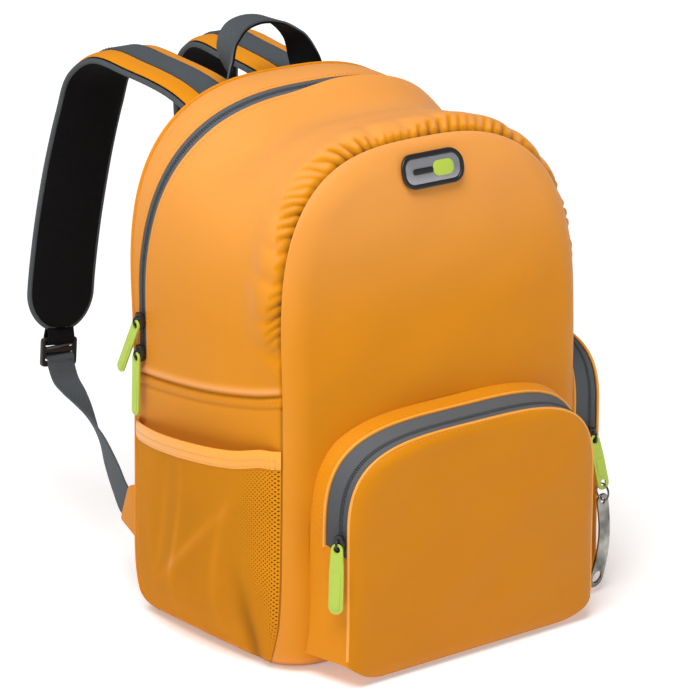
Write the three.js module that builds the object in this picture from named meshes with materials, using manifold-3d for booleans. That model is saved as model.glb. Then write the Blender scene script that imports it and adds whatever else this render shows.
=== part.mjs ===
// Insulated cooler backpack in millimetres.
// Origin: middle of the base underside. +X is right seen from the front, -Y is the front, +Z is up.
import * as THREE from "three";
import { mergeVertices } from "three/addons/utils/BufferGeometryUtils.js";
import Module from "manifold-3d";

const { lerp, clamp, smoothstep, degToRad } = THREE.MathUtils;
const vec = (x, y, z) => new THREE.Vector3(x, y, z);

// Cloth and gaps
const WALL = 3;
const BACK_PAD = 3;
const THIN = 1.2;
const WEBBING = 1.6;
const SEAM_GAP = 3.7;
const GAP = 0.5;

// Seams of the shell: half width and depth at each height, then the arch over the spring line
const FRONT_ARCH = { spring: 244, top: 394, power: 2.85 };
const FRONT_SEAM = [
  { z: 0, half: 135, y: -66, face: -91, roll: 38 },
  { z: 14, half: 138, y: -75, face: -98, roll: 32 },
  { z: 45, half: 140, y: -86, face: -100, roll: 22 },
  { z: 119, half: 141, y: -91, face: -100, roll: 18 },
  { z: 209, half: 141, y: -92, face: -100, roll: 18 },
  { z: 244, half: 141, y: -91, face: -99, roll: 18 },
  { z: 299, half: 141, y: -88, face: -96, roll: 18 },
  { z: 354, half: 141, y: -82, face: -90, roll: 18 },
  { z: 394, half: 141, y: -74, face: -82, roll: 18 },
];
const BACK_ARCH = { spring: 244, top: 418, power: 2.85, lean: -7 };
const BACK_SEAM = [
  { z: 0, half: 139, y: 80, face: 84, roll: 30 },
  { z: 14, half: 146, y: 86, face: 91, roll: 24 },
  { z: 45, half: 150, y: 88, face: 93, roll: 20 },
  { z: 119, half: 149, y: 88, face: 93, roll: 20 },
  { z: 244, half: 147, y: 88, face: 93, roll: 20 },
  { z: 354, half: 147, y: 88, face: 93, roll: 20 },
  { z: 418, half: 147, y: 86, face: 91, roll: 20 },
];
const BASE = { half: 129, front: -85, back: 73, corner: 40 };
const PANEL_LOW = 0.8;
const SIDE_TOP = 213;
const TOP_SAG = { depth: 15, across: 0.52, width: 0.22, from: 330, to: 390 };
const SIDE_PUFF = 7;
const FRONT_BULGE = 6;
const BACK_BULGE = 4;

// Puckers of the front zip gusset: place along the arch (0 left, 1 right), reach back from the seam,
// depth, spread along the seam and lean (mm sideways over the reach)
const PUCKERS = [
  { at: 0.02, reach: 22, depth: 1.6, spread: 6, lean: 4 },
  { at: 0.07, reach: 30, depth: 2.4, spread: 6, lean: 6 },
  { at: 0.12, reach: 26, depth: 2.6, spread: 5, lean: -3 },
  { at: 0.165, reach: 34, depth: 3.0, spread: 6, lean: 8 },
  { at: 0.21, reach: 24, depth: 2.4, spread: 5, lean: 2 },
  { at: 0.25, reach: 32, depth: 2.8, spread: 6, lean: 7 },
  { at: 0.29, reach: 26, depth: 2.6, spread: 5, lean: 3 },
  { at: 0.335, reach: 36, depth: 3.0, spread: 6, lean: 8 },
  { at: 0.385, reach: 28, depth: 2.6, spread: 5, lean: 4 },
  { at: 0.43, reach: 34, depth: 2.8, spread: 6, lean: 6 },
  { at: 0.49, reach: 24, depth: 2.0, spread: 6, lean: -2 },
  { at: 0.55, reach: 28, depth: 2.2, spread: 6, lean: -5 },
  { at: 0.62, reach: 24, depth: 2.0, spread: 6, lean: -3 },
  { at: 0.68, reach: 30, depth: 2.6, spread: 6, lean: -6 },
  { at: 0.735, reach: 26, depth: 2.6, spread: 5, lean: -4 },
  { at: 0.79, reach: 32, depth: 2.8, spread: 6, lean: -8 },
  { at: 0.845, reach: 26, depth: 2.4, spread: 5, lean: -3 },
  { at: 0.9, reach: 28, depth: 2.2, spread: 6, lean: -5 },
  { at: 0.96, reach: 22, depth: 1.6, spread: 6, lean: -4 },
];

const PUCKER_EASE = 1.6;
const PUCKER_ROLL = { height: 6, at: 14, fade: 0.16 };

// Main zip: share of the gusset width at which it runs
const ZIP_TRACK = [
  { z: 0, share: 0.925 },
  { z: 0.12, share: 0.905 },
  { z: 0.25, share: 0.83 },
  { z: 0.38, share: 0.765 },
  { z: 0.5, share: 0.755 },
  { z: 0.62, share: 0.765 },
  { z: 0.75, share: 0.83 },
  { z: 0.88, share: 0.905 },
  { z: 1, share: 0.925 },
];
const ZIP_HALF = 5;
const ZIP_DROP = 0.5;
const ZIP_THICK = 2;

// Zipped pockets: outline of the face edge and of the foot on the wall, depths out from the axis
const FRONT_POCKET = {
  mid: 4,
  face: { half: 119, spring: 109, top: 186, power: 3.6 },
  foot: { half: 127, spring: 109, top: 199, power: 3.6 },
  edge: 138,
  depth: 4,
  bulge: 5,
  roll: 12,
  zipEnd: 109,
  zipShare: 0.6,
};
const SIDE_POCKET = {
  mid: -17,
  face: { half: 72, spring: 149, top: 207, power: 3 },
  foot: { half: 75, spring: 149, top: 212, power: 3 },
  edge: 172,
  depth: 3,
  bulge: 3,
  roll: 10,
  zipEnd: 121,
  zipShare: 0.86,
};
const POCKET = {
  low: 4, wall: 2, corner: 15, cornerFrom: 0.7, widen: 1, widenTo: 60,
  tuck: 7, tuckTo: 16, floorCorner: 10, zipStart: 3.8, zipDrop: 0.4,
};

// Mesh pocket: height of its sagging rim along the side, and how far it stands off the side
const MESH_RIM = [
  { z: -78, top: 181 },
  { z: -52, top: 175 },
  { z: 0, top: 170 },
  { z: 40, top: 166 },
  { z: 72, top: 163 },
];
const MESH = {
  back: 72, low: 8, front: 8, stand: 15, binding: 14, crease: 1.2, creaseTurns: 19, creaseLean: 5,
};

// Left shoulder strap: centre line and half width of the pad, then the lower webbing with its twist
const PAD = [
  { x: -45, y: 96, z: 375, half: 27 },
  { x: -45, y: 140, z: 394, half: 28 },
  { x: -47, y: 200, z: 403, half: 29 },
  { x: -50, y: 246, z: 405, half: 29 },
  { x: -54, y: 272, z: 387, half: 29 },
  { x: -58, y: 282, z: 357, half: 29 },
  { x: -65, y: 289, z: 316, half: 29 },
  { x: -74, y: 291, z: 271, half: 29 },
  { x: -80, y: 291, z: 238, half: 29 },
  { x: -85, y: 290, z: 207, half: 29 },
  { x: -89, y: 287.5, z: 175, half: 29 },
];
const PAD_END = { from: 0.91, tip: 0.95, ease: 1.35 };
const PAD_THICK = 9;
const STRAP_FACE = { width: 0.9, lift: 1.2, thick: 1, webGap: 0.75 };
const STRAP_BINDING = { radius: 2.2, stand: 3.6 };
const STRAP_WEB_HALF = 12.5;
const WEB_START = [
  { along: 24.5, out: 0.4, roll: 0 },
  { along: 26.2, out: -3.5, roll: 0 },
  { along: 31, out: -4.6, roll: 0 },
];
const LOWER_WEB = [
  { x: -93, y: 274, z: 133, roll: -4 },
  { x: -95.5, y: 258, z: 126, roll: -14 },
  { x: -100, y: 236, z: 118, roll: -36 },
  { x: -107, y: 208, z: 108, roll: -62 },
  { x: -115, y: 184, z: 100, roll: -80 },
  { x: -127, y: 151, z: 89, roll: -90 },
  { x: -137, y: 123, z: 80, roll: -92 },
];
const KEEPER = [
  { along: 0.8, out: -1.4 },
  { along: 5, out: -2.6 },
  { along: 9, out: -3.5 },
  { along: 13, out: -3.2 },
  { along: 15.3, out: 0 },
  { along: 13, out: 3.2 },
  { along: 9, out: 3.5 },
  { along: 5, out: 2.6 },
  { along: 0.8, out: 1.4 },
];
const KEEPER_THICK = 1.3;
const BUCKLE = { half: 17, near: 9.4, far: 33.4, corner: 4, thick: 4, slotHalf: 13.6 };
const BUCKLE_SLOTS = [
  { low: 12.6, high: 17.6 },
  { low: 21.6, high: 28.8 },
];
const TAB = {
  x: -137.5, thick: 2.4, foot: 93, low: 51, high: 97, tipY: 119, tipLow: 66, tipHigh: 92, slant: 12,
};

// Haul loop
const LOOP_MID = -8;
const LOOP = [
  { x: -36, y: 97, z: 391, flat: -90 },
  { x: -36, y: 99, z: 405, flat: -64 },
  { x: -35, y: 106, z: 421, flat: -28 },
  { x: -31, y: 114, z: 436, flat: -6 },
  { x: -19, y: 120, z: 447, flat: 0 },
  { x: 0, y: 122, z: 451, flat: 0 },
];
const LOOP_WIDTH = 25;
const LOOP_LINING = 1.4;
const LOOP_LINING_GAP = 1.9;

// Badge on the front panel
const BADGE = { z: 373, width: 58, height: 25, corner: 9, rim: 3, stand: 1.9, thick: 2.4 };

// Pulls, sliders and the opener
const PULL = { width: 11.5, thick: 2, hole: 5.2, inset: 4.4 };
const SLIDER = { width: 10, length: 13, thick: 4.4 };
const BAIL = { radius: 3.6, wire: 0.8 };
const RING = { radius: 7, wire: 0.9, slack: 0.7 };
const OPENER = { length: 72, width: 15, thick: 2.2, eye: 4, slack: 0.45, bow: 6 };

// Smooth curve through one column of a table, read along its z column
function column(rows, key) {
  const slope = (i) => {
    const a = rows[Math.max(i - 1, 0)];
    const b = rows[Math.min(i + 1, rows.length - 1)];
    return (b[key] - a[key]) / (b.z - a.z);
  };
  return (z) => {
    const last = rows.length - 2;
    const found = rows.findIndex((row) => row.z > z) - 1;
    const i = found < 0 ? (z <= rows[0].z ? 0 : last) : found;
    const a = rows[i];
    const b = rows[i + 1];
    const span = b.z - a.z;
    const t = clamp((z - a.z) / span, 0, 1);
    const t2 = t * t;
    const t3 = t2 * t;
    return (2 * t3 - 3 * t2 + 1) * a[key] + (t3 - 2 * t2 + t) * span * slope(i)
      + (3 * t2 - 2 * t3) * b[key] + (t3 - t2) * span * slope(i + 1);
  };
}

// Sheet with thickness: a box grid whose corners are placed by a function of (u, v, w), w = 1 outside
function slab(nu, nv, place) {
  const geometry = new THREE.BoxGeometry(1, 1, 1, nu, nv, 1);
  const points = geometry.attributes.position;
  for (let i = 0; i < points.count; i++) {
    const p = place(points.getX(i) + 0.5, points.getY(i) + 0.5, points.getZ(i) + 0.5);
    points.setXYZ(i, p.x, p.y, p.z);
  }
  return geometry;
}

// Sideways lean of the upper part of an arch
const leanAt = (arch, z) => (arch.lean ?? 0) * smoothstep(z, 0.7 * arch.spring, arch.top);

// Arched outline from foot to foot, run by length
function archCurve(arch, halfAt, depthAt, low) {
  const points = [];
  const rise = arch.top - arch.spring;
  const upright = 9;
  const turn = 30;
  for (let i = 0; i < upright; i++) {
    const z = lerp(low, arch.spring, i / upright);
    points.push(vec(leanAt(arch, z) - halfAt(z), depthAt(z), z));
  }
  const half = halfAt(arch.spring);
  for (let i = 0; i <= turn; i++) {
    const angle = Math.PI * (1 - i / turn);
    const across = Math.sign(Math.cos(angle)) * Math.abs(Math.cos(angle)) ** (2 / arch.power);
    const z = arch.spring + rise * Math.abs(Math.sin(angle)) ** (2 / arch.power);
    points.push(vec(half * across + leanAt(arch, z), depthAt(z), z));
  }
  for (let i = upright - 1; i >= 0; i--) {
    const z = lerp(low, arch.spring, i / upright);
    points.push(vec(leanAt(arch, z) + halfAt(z), depthAt(z), z));
  }
  const curve = new THREE.CatmullRomCurve3(points, false, "centripetal");
  curve.arcLengthDivisions = 600;
  return curve;
}

function archHeight(x, arch, half) {
  const share = Math.max(0, 1 - Math.abs(x / half) ** arch.power);
  return lerp(arch.spring, arch.top, share ** (1 / arch.power));
}

// 0 in the middle of an arched panel, 1 on its edge
function edgeShare(x, z, arch, half) {
  const rise = Math.max(0, z - arch.spring) / (arch.top - arch.spring);
  return Math.min(1, (Math.abs(x / half) ** arch.power + rise ** arch.power) ** (1 / arch.power));
}

// Share of its full stand that a stuffed panel reaches beside its edge, and the swell of its middle
function panelRise(x, z, arch, half, roll) {
  const share = edgeShare(x, z, arch, half);
  const inset = Math.min(1, ((1 - share) * half) / roll);
  const swell = Math.max(0, 1 - (x / half) ** 2) * Math.sin(Math.PI * clamp(z / arch.top, 0, 1));
  return { rise: 1 - (1 - inset) ** 2, swell: swell * inset };
}

// Outer face of an arched panel of the shell, from its seam table
function panelFace(rows, arch, bulge) {
  const [half, y, face, roll] = ["half", "y", "face", "roll"].map((key) => column(rows, key));
  return (x, z) => {
    const { rise, swell } = panelRise(x, z, arch, half(z), roll(z));
    return lerp(y(z), face(z), rise) + bulge * swell;
  };
}

const frontHalf = column(FRONT_SEAM, "half");
const frontDepth = column(FRONT_SEAM, "y");
const backHalf = column(BACK_SEAM, "half");
const backDepth = column(BACK_SEAM, "y");
const frontFace = panelFace(FRONT_SEAM, FRONT_ARCH, -FRONT_BULGE);
const backFace = panelFace(BACK_SEAM, BACK_ARCH, BACK_BULGE);
const frontSeam = archCurve(FRONT_ARCH, frontHalf, frontDepth, 0);
const backSeam = archCurve(BACK_ARCH, backHalf, backDepth, 0);

// Arched panel in upright columns; side is -1 for the front and 1 for the back
function archedPanel(nu, nv, arch, halfAt, face, side, pad, low) {
  const widest = halfAt(arch.spring);
  return slab(nu, nv, (u, v, w) => {
    const spread = Math.sin((u - 0.5) * Math.PI) * -side;
    const top = archHeight(spread * widest, arch, widest);
    const z = lerp(low, top, Math.sin(v * Math.PI * 0.5));
    const x = spread * halfAt(Math.min(z, arch.spring));
    const step = 0.5;
    const slopeX = (face(x + step, z) - face(x - step, z)) / (2 * step);
    const slopeZ = (face(x, z + step) - face(x, z - step)) / (2 * step);
    const normal = vec(-slopeX, 1, -slopeZ).normalize().multiplyScalar(side);
    const wall = WALL + pad * smoothstep(1 - edgeShare(x, z, arch, halfAt(z)), 0, 0.2);
    return vec(x + leanAt(arch, z), face(x, z), z).addScaledVector(normal, -wall * (1 - w));
  });
}

// Point of the side and top gusset: shares along the two seams and across from front to back
function gussetFrame(frontShare, backShare, across) {
  const front = frontSeam.getPointAt(frontShare);
  const back = backSeam.getPointAt(backShare);
  const point = front.lerp(back, across);
  const run = frontSeam.getTangentAt(frontShare).lerp(backSeam.getTangentAt(backShare), across);
  const out = vec(-run.z, 0, run.x).normalize();
  const puff = SIDE_PUFF * (4 * across * (1 - across)) ** 0.7 * smoothstep(point.z, -4, 50);
  const dip = Math.exp(-(((across - TOP_SAG.across) / TOP_SAG.width) ** 2));
  const sag = TOP_SAG.depth * dip * smoothstep(point.z, TOP_SAG.from, TOP_SAG.to);
  return { point: point.addScaledVector(out, puff - sag), out };
}

const frontLength = frontSeam.getLength();
const backLength = backSeam.getLength();
const frontStart = SIDE_TOP / frontLength;
const backStart = SIDE_TOP / backLength;
const zipShare = column(ZIP_TRACK, "share");
const gussetDepth = (along) => {
  const a = frontSeam.getPointAt(lerp(frontStart, 1 - frontStart, along));
  const b = backSeam.getPointAt(lerp(backStart, 1 - backStart, along));
  return a.distanceTo(b);
};

// Gathers of the front gusset beside its seam
function pucker(along, back) {
  const arc = frontLength * (1 - 2 * frontStart);
  let relief = 0;
  for (const fold of PUCKERS) {
    const fade = Math.max(0, 1 - back / fold.reach);
    const offset = (along - fold.at) * arc - (fold.lean * back) / fold.reach;
    relief -= fold.depth * fade ** 0.8 * Math.exp(-((offset / fold.spread) ** 2));
  }
  const fade = smoothstep(Math.min(along, 1 - along), 0, PUCKER_ROLL.fade);
  return relief + PUCKER_ROLL.height * fade * Math.exp(-((back / PUCKER_ROLL.at - 1) ** 2));
}

// Strip of the upper gusset between two lines across it
function gussetStrip(nu, nv, from, to, wall, relief, ease) {
  return slab(nu, nv, (u, v, w) => {
    const along = lerp(0.004, 0.996, u);
    const depth = gussetDepth(along);
    const across = lerp(from(along, depth), to(along, depth), v ** ease);
    const frontShare = lerp(frontStart, 1 - frontStart, along);
    const backShare = lerp(backStart, 1 - backStart, along);
    const { point, out } = gussetFrame(frontShare, backShare, across);
    return point.addScaledVector(out, relief(along, across * depth) - wall * (1 - w));
  });
}

// Lower side of the gusset, from the base to the strips above; side is -1 left and 1 right
function sidePanel(side) {
  return slab(11, 6, (u, v, w) => {
    const low = side < 0 ? u : 1 - u;
    const climb = lerp(0.0035, 0.994, low);
    const share = (start) => (side < 0 ? start * climb : 1 - start * climb);
    const gap = (SEAM_GAP + 4.2 * (1 - smoothstep(climb * SIDE_TOP, 0, 60))) / 180;
    const across = lerp(gap, 1 - gap, v);
    const { point, out } = gussetFrame(share(frontStart), share(backStart), across);
    return point.addScaledVector(out, -WALL * (1 - w));
  });
}

// Outer face of the side at a depth y and height z
function sideOut(y, z) {
  const across = clamp((y - frontDepth(z)) / (backDepth(z) - frontDepth(z)), 0, 1);
  const puff = SIDE_PUFF * (4 * across * (1 - across)) ** 0.7 * smoothstep(z, -4, 50);
  return lerp(frontHalf(z), backHalf(z), across) + puff;
}

// Plate lying flat: rounded rectangle in plan
function roundedPlate(x0, x1, y0, y1, corner, thick, segments) {
  const shape = new THREE.Shape();
  shape.moveTo(x0 + corner, y0);
  shape.lineTo(x1 - corner, y0);
  shape.quadraticCurveTo(x1, y0, x1, y0 + corner);
  shape.lineTo(x1, y1 - corner);
  shape.quadraticCurveTo(x1, y1, x1 - corner, y1);
  shape.lineTo(x0 + corner, y1);
  shape.quadraticCurveTo(x0, y1, x0, y1 - corner);
  shape.lineTo(x0, y0 + corner);
  shape.quadraticCurveTo(x0, y0, x0 + corner, y0);
  return { shape, solid: (hole) => extrude(shape, hole, thick, segments) };
}

function extrude(shape, hole, thick, segments) {
  if (hole) shape.holes.push(hole);
  return new THREE.ExtrudeGeometry(shape, { depth: thick, bevelEnabled: false, curveSegments: segments });
}

const circleHole = (x, y, radius) => {
  const path = new THREE.Path();
  path.absarc(x, y, radius, 0, Math.PI * 2, true);
  return path;
};

// Move every corner of a solid by a function of its place
function bend(geometry, move) {
  const points = geometry.attributes.position;
  for (let i = 0; i < points.count; i++) {
    const p = move(points.getX(i), points.getY(i), points.getZ(i));
    points.setXYZ(i, p.x, p.y, p.z);
  }
  return geometry;
}

// Half width of a pocket outline, wider towards the floor, and the height of its rounded lower edge
const pocketHalf = (arch, z) => arch.half + POCKET.widen * (1 - smoothstep(z, 0, POCKET.widenTo));
function pocketLow(spread) {
  const toCorner = (Math.abs(spread) - POCKET.cornerFrom) / (1 - POCKET.cornerFrom);
  return POCKET.low + POCKET.corner * Math.max(0, toCorner) ** 2.2;
}

// Zipped pocket on a wall. Local axes: across, up, out; seat turns them into the bag's axes
function zippedPocket(spec, wallOut, seat) {
  const flat = () => 0;
  const halfOf = (arch) => (z) => pocketHalf(arch, z);
  const faceCurve = archCurve(spec.face, halfOf(spec.face), flat, POCKET.low + POCKET.corner);
  const footCurve = archCurve(spec.foot, halfOf(spec.foot), flat, POCKET.low + POCKET.corner);
  const tuck = (z) => POCKET.tuck * (1 - Math.min(1, z / POCKET.tuckTo)) ** 2;
  const faceOut = (across, up) => {
    const { rise, swell } = panelRise(across, up, spec.face, halfOf(spec.face)(up), spec.roll);
    return spec.edge + spec.depth * rise + spec.bulge * swell - tuck(up);
  };
  const band = (share, k) => {
    const p = faceCurve.getPointAt(share).lerp(footCurve.getPointAt(share), k);
    const run = faceCurve.getTangentAt(share).lerp(footCurve.getTangentAt(share), k);
    const normal = vec(-run.z, 0, run.x).normalize();
    const wall = wallOut(spec.mid + p.x, p.z);
    const out = lerp(spec.edge - tuck(p.z), wall, k);
    return { across: p.x, up: p.z, out, normal };
  };
  const strip = (nu, nv, span, from, to, thick, lift) => slab(nu, nv, (u, v, w) => {
    const share = lerp(span[0], span[1], u);
    const at = band(share, lerp(from(share), to(share), v));
    const inward = lift - thick * (1 - w);
    return seat(spec.mid + at.across + at.normal.x * inward, at.up + at.normal.z * inward, at.out);
  });
  const zipFrom = (spec.zipEnd - POCKET.low - POCKET.corner) / faceCurve.getLength();
  const startShare = POCKET.zipStart / (spec.edge - wallOut(spec.mid, spec.face.top));
  const endShare = 0.985;
  const inZip = (share) => smoothstep(Math.min(share, 1 - share), zipFrom - 0.04, zipFrom - 0.015);
  const widest = halfOf(spec.face)(spec.face.spring);
  const face = slab(12, 8, (u, v, w) => {
    const spread = Math.sin((u - 0.5) * Math.PI);
    const top = archHeight(spread * widest, spec.face, widest);
    const up = lerp(pocketLow(spread), top, Math.sin(v * Math.PI * 0.5));
    const across = spread * halfOf(spec.face)(Math.min(up, spec.face.spring));
    return seat(spec.mid + across, up, faceOut(across, up) - POCKET.wall * (1 - w));
  });
  return {
    face,
    zip: strip(
      32, 1, [zipFrom, 1 - zipFrom], () => startShare, () => spec.zipShare, POCKET.wall, -POCKET.zipDrop,
    ),
    gusset: strip(
      46, 1, [0, 1],
      (share) => lerp(startShare, spec.zipShare + 0.03, inZip(share)),
      () => endShare, POCKET.wall, 0,
    ),
    band,
    zipFrom,
  };
}

const seatFront = (across, up, out) => vec(across, -out, up);
const seatRight = (across, up, out) => vec(out, across, up);
const frontPocket = zippedPocket(FRONT_POCKET, (x, z) => -frontFace(x, z) + GAP, seatFront);
const sidePocket = zippedPocket(SIDE_POCKET, (y, z) => sideOut(y, z) + GAP, seatRight);

// Floor of a zipped pocket, inside its face and gusset
function pocketFloor(spec, wallOut, seat) {
  const half = pocketHalf(spec.face, POCKET.low) - 1.5 * POCKET.wall;
  const front = spec.edge - POCKET.tuck - POCKET.wall - GAP;
  return slab(12, 1, (u, v, w) => {
    const across = lerp(-half, half, u);
    const low = pocketLow(2 * u - 1);
    const high = low + POCKET.wall;
    const round = POCKET.floorCorner * Math.abs(2 * u - 1) ** 6;
    const at = spec.mid + across;
    const wall = Math.max(wallOut(at, low), wallOut(at, high)) + THIN;
    return seat(at, lerp(low, high, v), lerp(wall, front - round, w));
  });
}

// Mesh pocket wall and the binding of its rim
const meshTop = column(MESH_RIM, "top");
const meshFront = (z) => frontDepth(z) + MESH.front;
function meshOut(y, z) {
  const front = meshFront(z);
  const along = clamp((y - front) / (MESH.back - front), 0, 1);
  const climb = clamp((z - MESH.low) / (meshTop(y) - MESH.low), 0, 1);
  const sag = Math.sin(Math.PI * along) ** 0.8 * Math.min(1, climb * 4) ** 0.7;
  const inside = Math.sin(Math.PI * climb) * Math.sin(Math.PI * along);
  const creases = MESH.crease * Math.sin(along * MESH.creaseTurns + climb * MESH.creaseLean) * inside;
  return sideOut(y, z) + 2 * GAP + THIN + MESH.stand * sag * (0.55 + 0.45 * climb) + creases;
}
const meshWall = slab(13, 7, (u, v, w) => {
  const rim = meshTop(lerp(MESH.back, meshFront(SIDE_TOP), u)) - MESH.binding - GAP;
  const z = lerp(MESH.low, rim, v);
  const y = lerp(MESH.back, meshFront(z), u);
  return vec(-meshOut(y, z) + THIN * (1 - w), y, z);
});
const meshBinding = slab(14, 2, (u, v, w) => {
  const rim = meshTop(lerp(MESH.back, meshFront(SIDE_TOP), u));
  const z = lerp(rim - MESH.binding, rim, v);
  const y = lerp(MESH.back, meshFront(z), u);
  const round = 0.5 * Math.abs(2 * v - 1) ** 2;
  return vec(-meshOut(y, z) + lerp(THIN + 0.7 - round, -0.7 + round, w), y, z);
});

// Curve through the x, y, z columns of a table; side mirrors it
const tableCurve = (rows, side) =>
  new THREE.CatmullRomCurve3(rows.map((row) => vec(-side * row.x, row.y, row.z)), false, "centripetal");

// Column of a table read by its share of the rows
function byRow(rows, key) {
  const last = rows.length - 1;
  return column(rows.map((row, i) => ({ z: i / last, [key]: row[key] })), key);
}

// Across and outer directions of a strap running along a curve
function strapFrame(curve, t, roll) {
  const run = curve.getTangent(t);
  const across = vec(1, 0, 0).addScaledVector(run, -run.x).normalize();
  const outer = across.clone().cross(run);
  const turned = across.clone().multiplyScalar(Math.cos(roll)).addScaledVector(outer, Math.sin(roll));
  return { point: curve.getPoint(t), run, across: turned, outer: turned.clone().cross(run) };
}

const padHalf = byRow(PAD, "half");

// Rounded outline of the pad's lower end
function padWidth(t) {
  const end = clamp((t - PAD_END.from) / (1 - PAD_END.from), 0, 1) * PAD_END.tip;
  return padHalf(t) * Math.sqrt(1 - end ** 2);
}

// One layer of the pad between two heights off its middle
function padLayer(side, nu, nv, span, widthAt, low, high) {
  const curve = tableCurve(PAD, side);
  return slab(nu, nv, (u, v, w) => {
    const t = lerp(span[0], span[1], 1 - (1 - u) ** PAD_END.ease);
    const { point, across, outer } = strapFrame(curve, t, 0);
    const reach = (0.5 - v) * 2;
    const offset = lerp(low(reach), high(reach), w);
    return point.addScaledVector(across, reach * widthAt(t)).addScaledVector(outer, offset);
  });
}

// Half thickness of the pad across its width
const soft = (reach) => (PAD_THICK / 2) * (1 - 0.35 * Math.abs(reach) ** 4);

function strapPad(side) {
  return padLayer(side, 18, 4, [0, 1], padWidth, (r) => -soft(r), soft);
}

function strapFace(side) {
  const under = (r) => soft(r * STRAP_FACE.width) + STRAP_FACE.lift;
  const width = (t) => padWidth(t) * STRAP_FACE.width;
  return padLayer(side, 18, 2, [0.004, 0.985], width, under, (r) => under(r) + STRAP_FACE.thick);
}

function strapFaceWeb(side) {
  const under = PAD_THICK / 2 + STRAP_FACE.lift + STRAP_FACE.thick + STRAP_FACE.webGap;
  return padLayer(side, 18, 1, [0.008, 0.975], () => STRAP_WEB_HALF, () => under, () => under + WEBBING);
}

// Binding: a thin roll along one edge of the pad
function strapBinding(side, edge) {
  const curve = tableCurve(PAD, side);
  const points = [];
  const steps = 26;
  for (let i = 0; i <= steps; i++) {
    const t = lerp(0.006, 0.93, i / steps);
    const { point, across } = strapFrame(curve, t, 0);
    points.push(point.addScaledVector(across, edge * (padWidth(t) + STRAP_BINDING.stand)));
  }
  return tube(points, STRAP_BINDING.radius, 3, 14);
}

// Round cord along points
function tube(points, radius, sides, steps) {
  const shape = new THREE.Shape();
  shape.absarc(0, 0, radius, 0, Math.PI * 2, false);
  const path = new THREE.CatmullRomCurve3(points, false, "centripetal");
  return new THREE.ExtrudeGeometry(shape, {
    steps, curveSegments: sides, bevelEnabled: false, extrudePath: path,
  });
}

// Frame at the end of the pad, where the buckle hangs
const padEnd = (side) => strapFrame(tableCurve(PAD, side), 1, 0);

function buckleSeat(side, geometry) {
  const { point, run, across, outer } = padEnd(side);
  const matrix = new THREE.Matrix4().makeBasis(across, run, outer);
  return geometry.applyMatrix4(matrix.setPosition(point));
}

// Webbing from the buckle down to the corner tab
function lowerWeb(side) {
  const { point, run, outer } = padEnd(side);
  const start = WEB_START.map((row) =>
    point.clone().addScaledVector(run, row.along).addScaledVector(outer, row.out));
  const rest = LOWER_WEB.map((row) => vec(-side * row.x, row.y, row.z));
  const curve = new THREE.CatmullRomCurve3([...start, ...rest], false, "centripetal");
  const roll = byRow([...WEB_START, ...LOWER_WEB], "roll");
  return slab(26, 1, (u, v, w) => {
    const { point: at, across, outer: face } = strapFrame(curve, u, degToRad(roll(u)) * side);
    const reach = (0.5 - v) * 2 * STRAP_WEB_HALF;
    return at.addScaledVector(across, reach).addScaledVector(face, (w - 0.5) * WEBBING);
  });
}

// Ladder-lock frame with two slots, flat in its seat
function buckle(side) {
  const { half, near, far, corner, thick, slotHalf } = BUCKLE;
  const plate = roundedPlate(-half, half, near, far, corner, thick, 2);
  for (const { low, high } of BUCKLE_SLOTS) {
    const slot = new THREE.Path();
    slot.moveTo(-slotHalf, low);
    slot.lineTo(-slotHalf, high);
    slot.lineTo(slotHalf, high);
    slot.lineTo(slotHalf, low);
    plate.shape.holes.push(slot);
  }
  return buckleSeat(side, plate.solid().translate(0, 0, -thick / 2));
}

// Keeper: webbing folded round the buckle's upper bar and sewn to the pad
function keeper(side) {
  const points = KEEPER.map((row) => vec(row.out, row.along, 0));
  const fold = new THREE.CatmullRomCurve3(points, false, "centripetal");
  const band = slab(12, 1, (u, v, w) => {
    const p = fold.getPoint(u);
    const run = fold.getTangent(u);
    const lift = (w - 0.5) * KEEPER_THICK;
    return vec((v - 0.5) * 2 * STRAP_WEB_HALF, p.y + run.x * lift, p.x - run.y * lift);
  });
  return buckleSeat(side, band);
}

// Corner tab that takes the lower webbing
function cornerTab(side) {
  const shape = new THREE.Shape();
  shape.moveTo(TAB.foot, TAB.low);
  shape.lineTo(TAB.tipY, TAB.tipLow);
  shape.lineTo(TAB.tipY - TAB.slant, TAB.tipHigh);
  shape.lineTo(TAB.foot, TAB.high);
  const solid = extrude(shape, null, TAB.thick, 2);
  return bend(solid, (y, z, out) => vec(-side * TAB.x - TAB.thick / 2 + out, y, z));
}

// Band of the haul loop between two heights off its line: flat on the back at its feet, turned above
function loopBand(low, high) {
  const mirrored = LOOP.slice(0, -1).reverse().map((row) => ({ ...row, x: -row.x }));
  const rows = [...LOOP, ...mirrored].map((row) => ({ ...row, x: row.x + LOOP_MID }));
  const curve = tableCurve(rows, -1);
  const flat = byRow(rows, "flat");
  return slab(30, 2, (u, v, w) => {
    const point = curve.getPoint(u);
    const run = curve.getTangent(u);
    const level = vec(0, 1, 0).addScaledVector(run, -run.y).normalize();
    const away = run.clone().cross(level);
    const turn = degToRad(flat(u));
    const across = level.clone().multiplyScalar(Math.cos(turn)).addScaledVector(away, Math.sin(turn));
    const outer = run.clone().cross(across);
    point.addScaledVector(across, (v - 0.5) * LOOP_WIDTH);
    return point.addScaledVector(outer, lerp(low, high, w));
  });
}

// Badge parts lie on the bulge of the front panel
function badgePart(inset, hole, low, high) {
  const w = BADGE.width / 2 - inset;
  const h = BADGE.height / 2 - inset;
  const plate = roundedPlate(-w, w, -h, h, BADGE.corner - inset, high - low, 4);
  const cut = hole ? roundedHole(w - hole, h - hole, BADGE.corner - inset - hole) : null;
  return bend(plate.solid(cut), (x, up, out) => {
    const z = BADGE.z + up;
    return vec(x, frontFace(x * 0.9, z) - BADGE.stand - low - out, z);
  });
}

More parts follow.
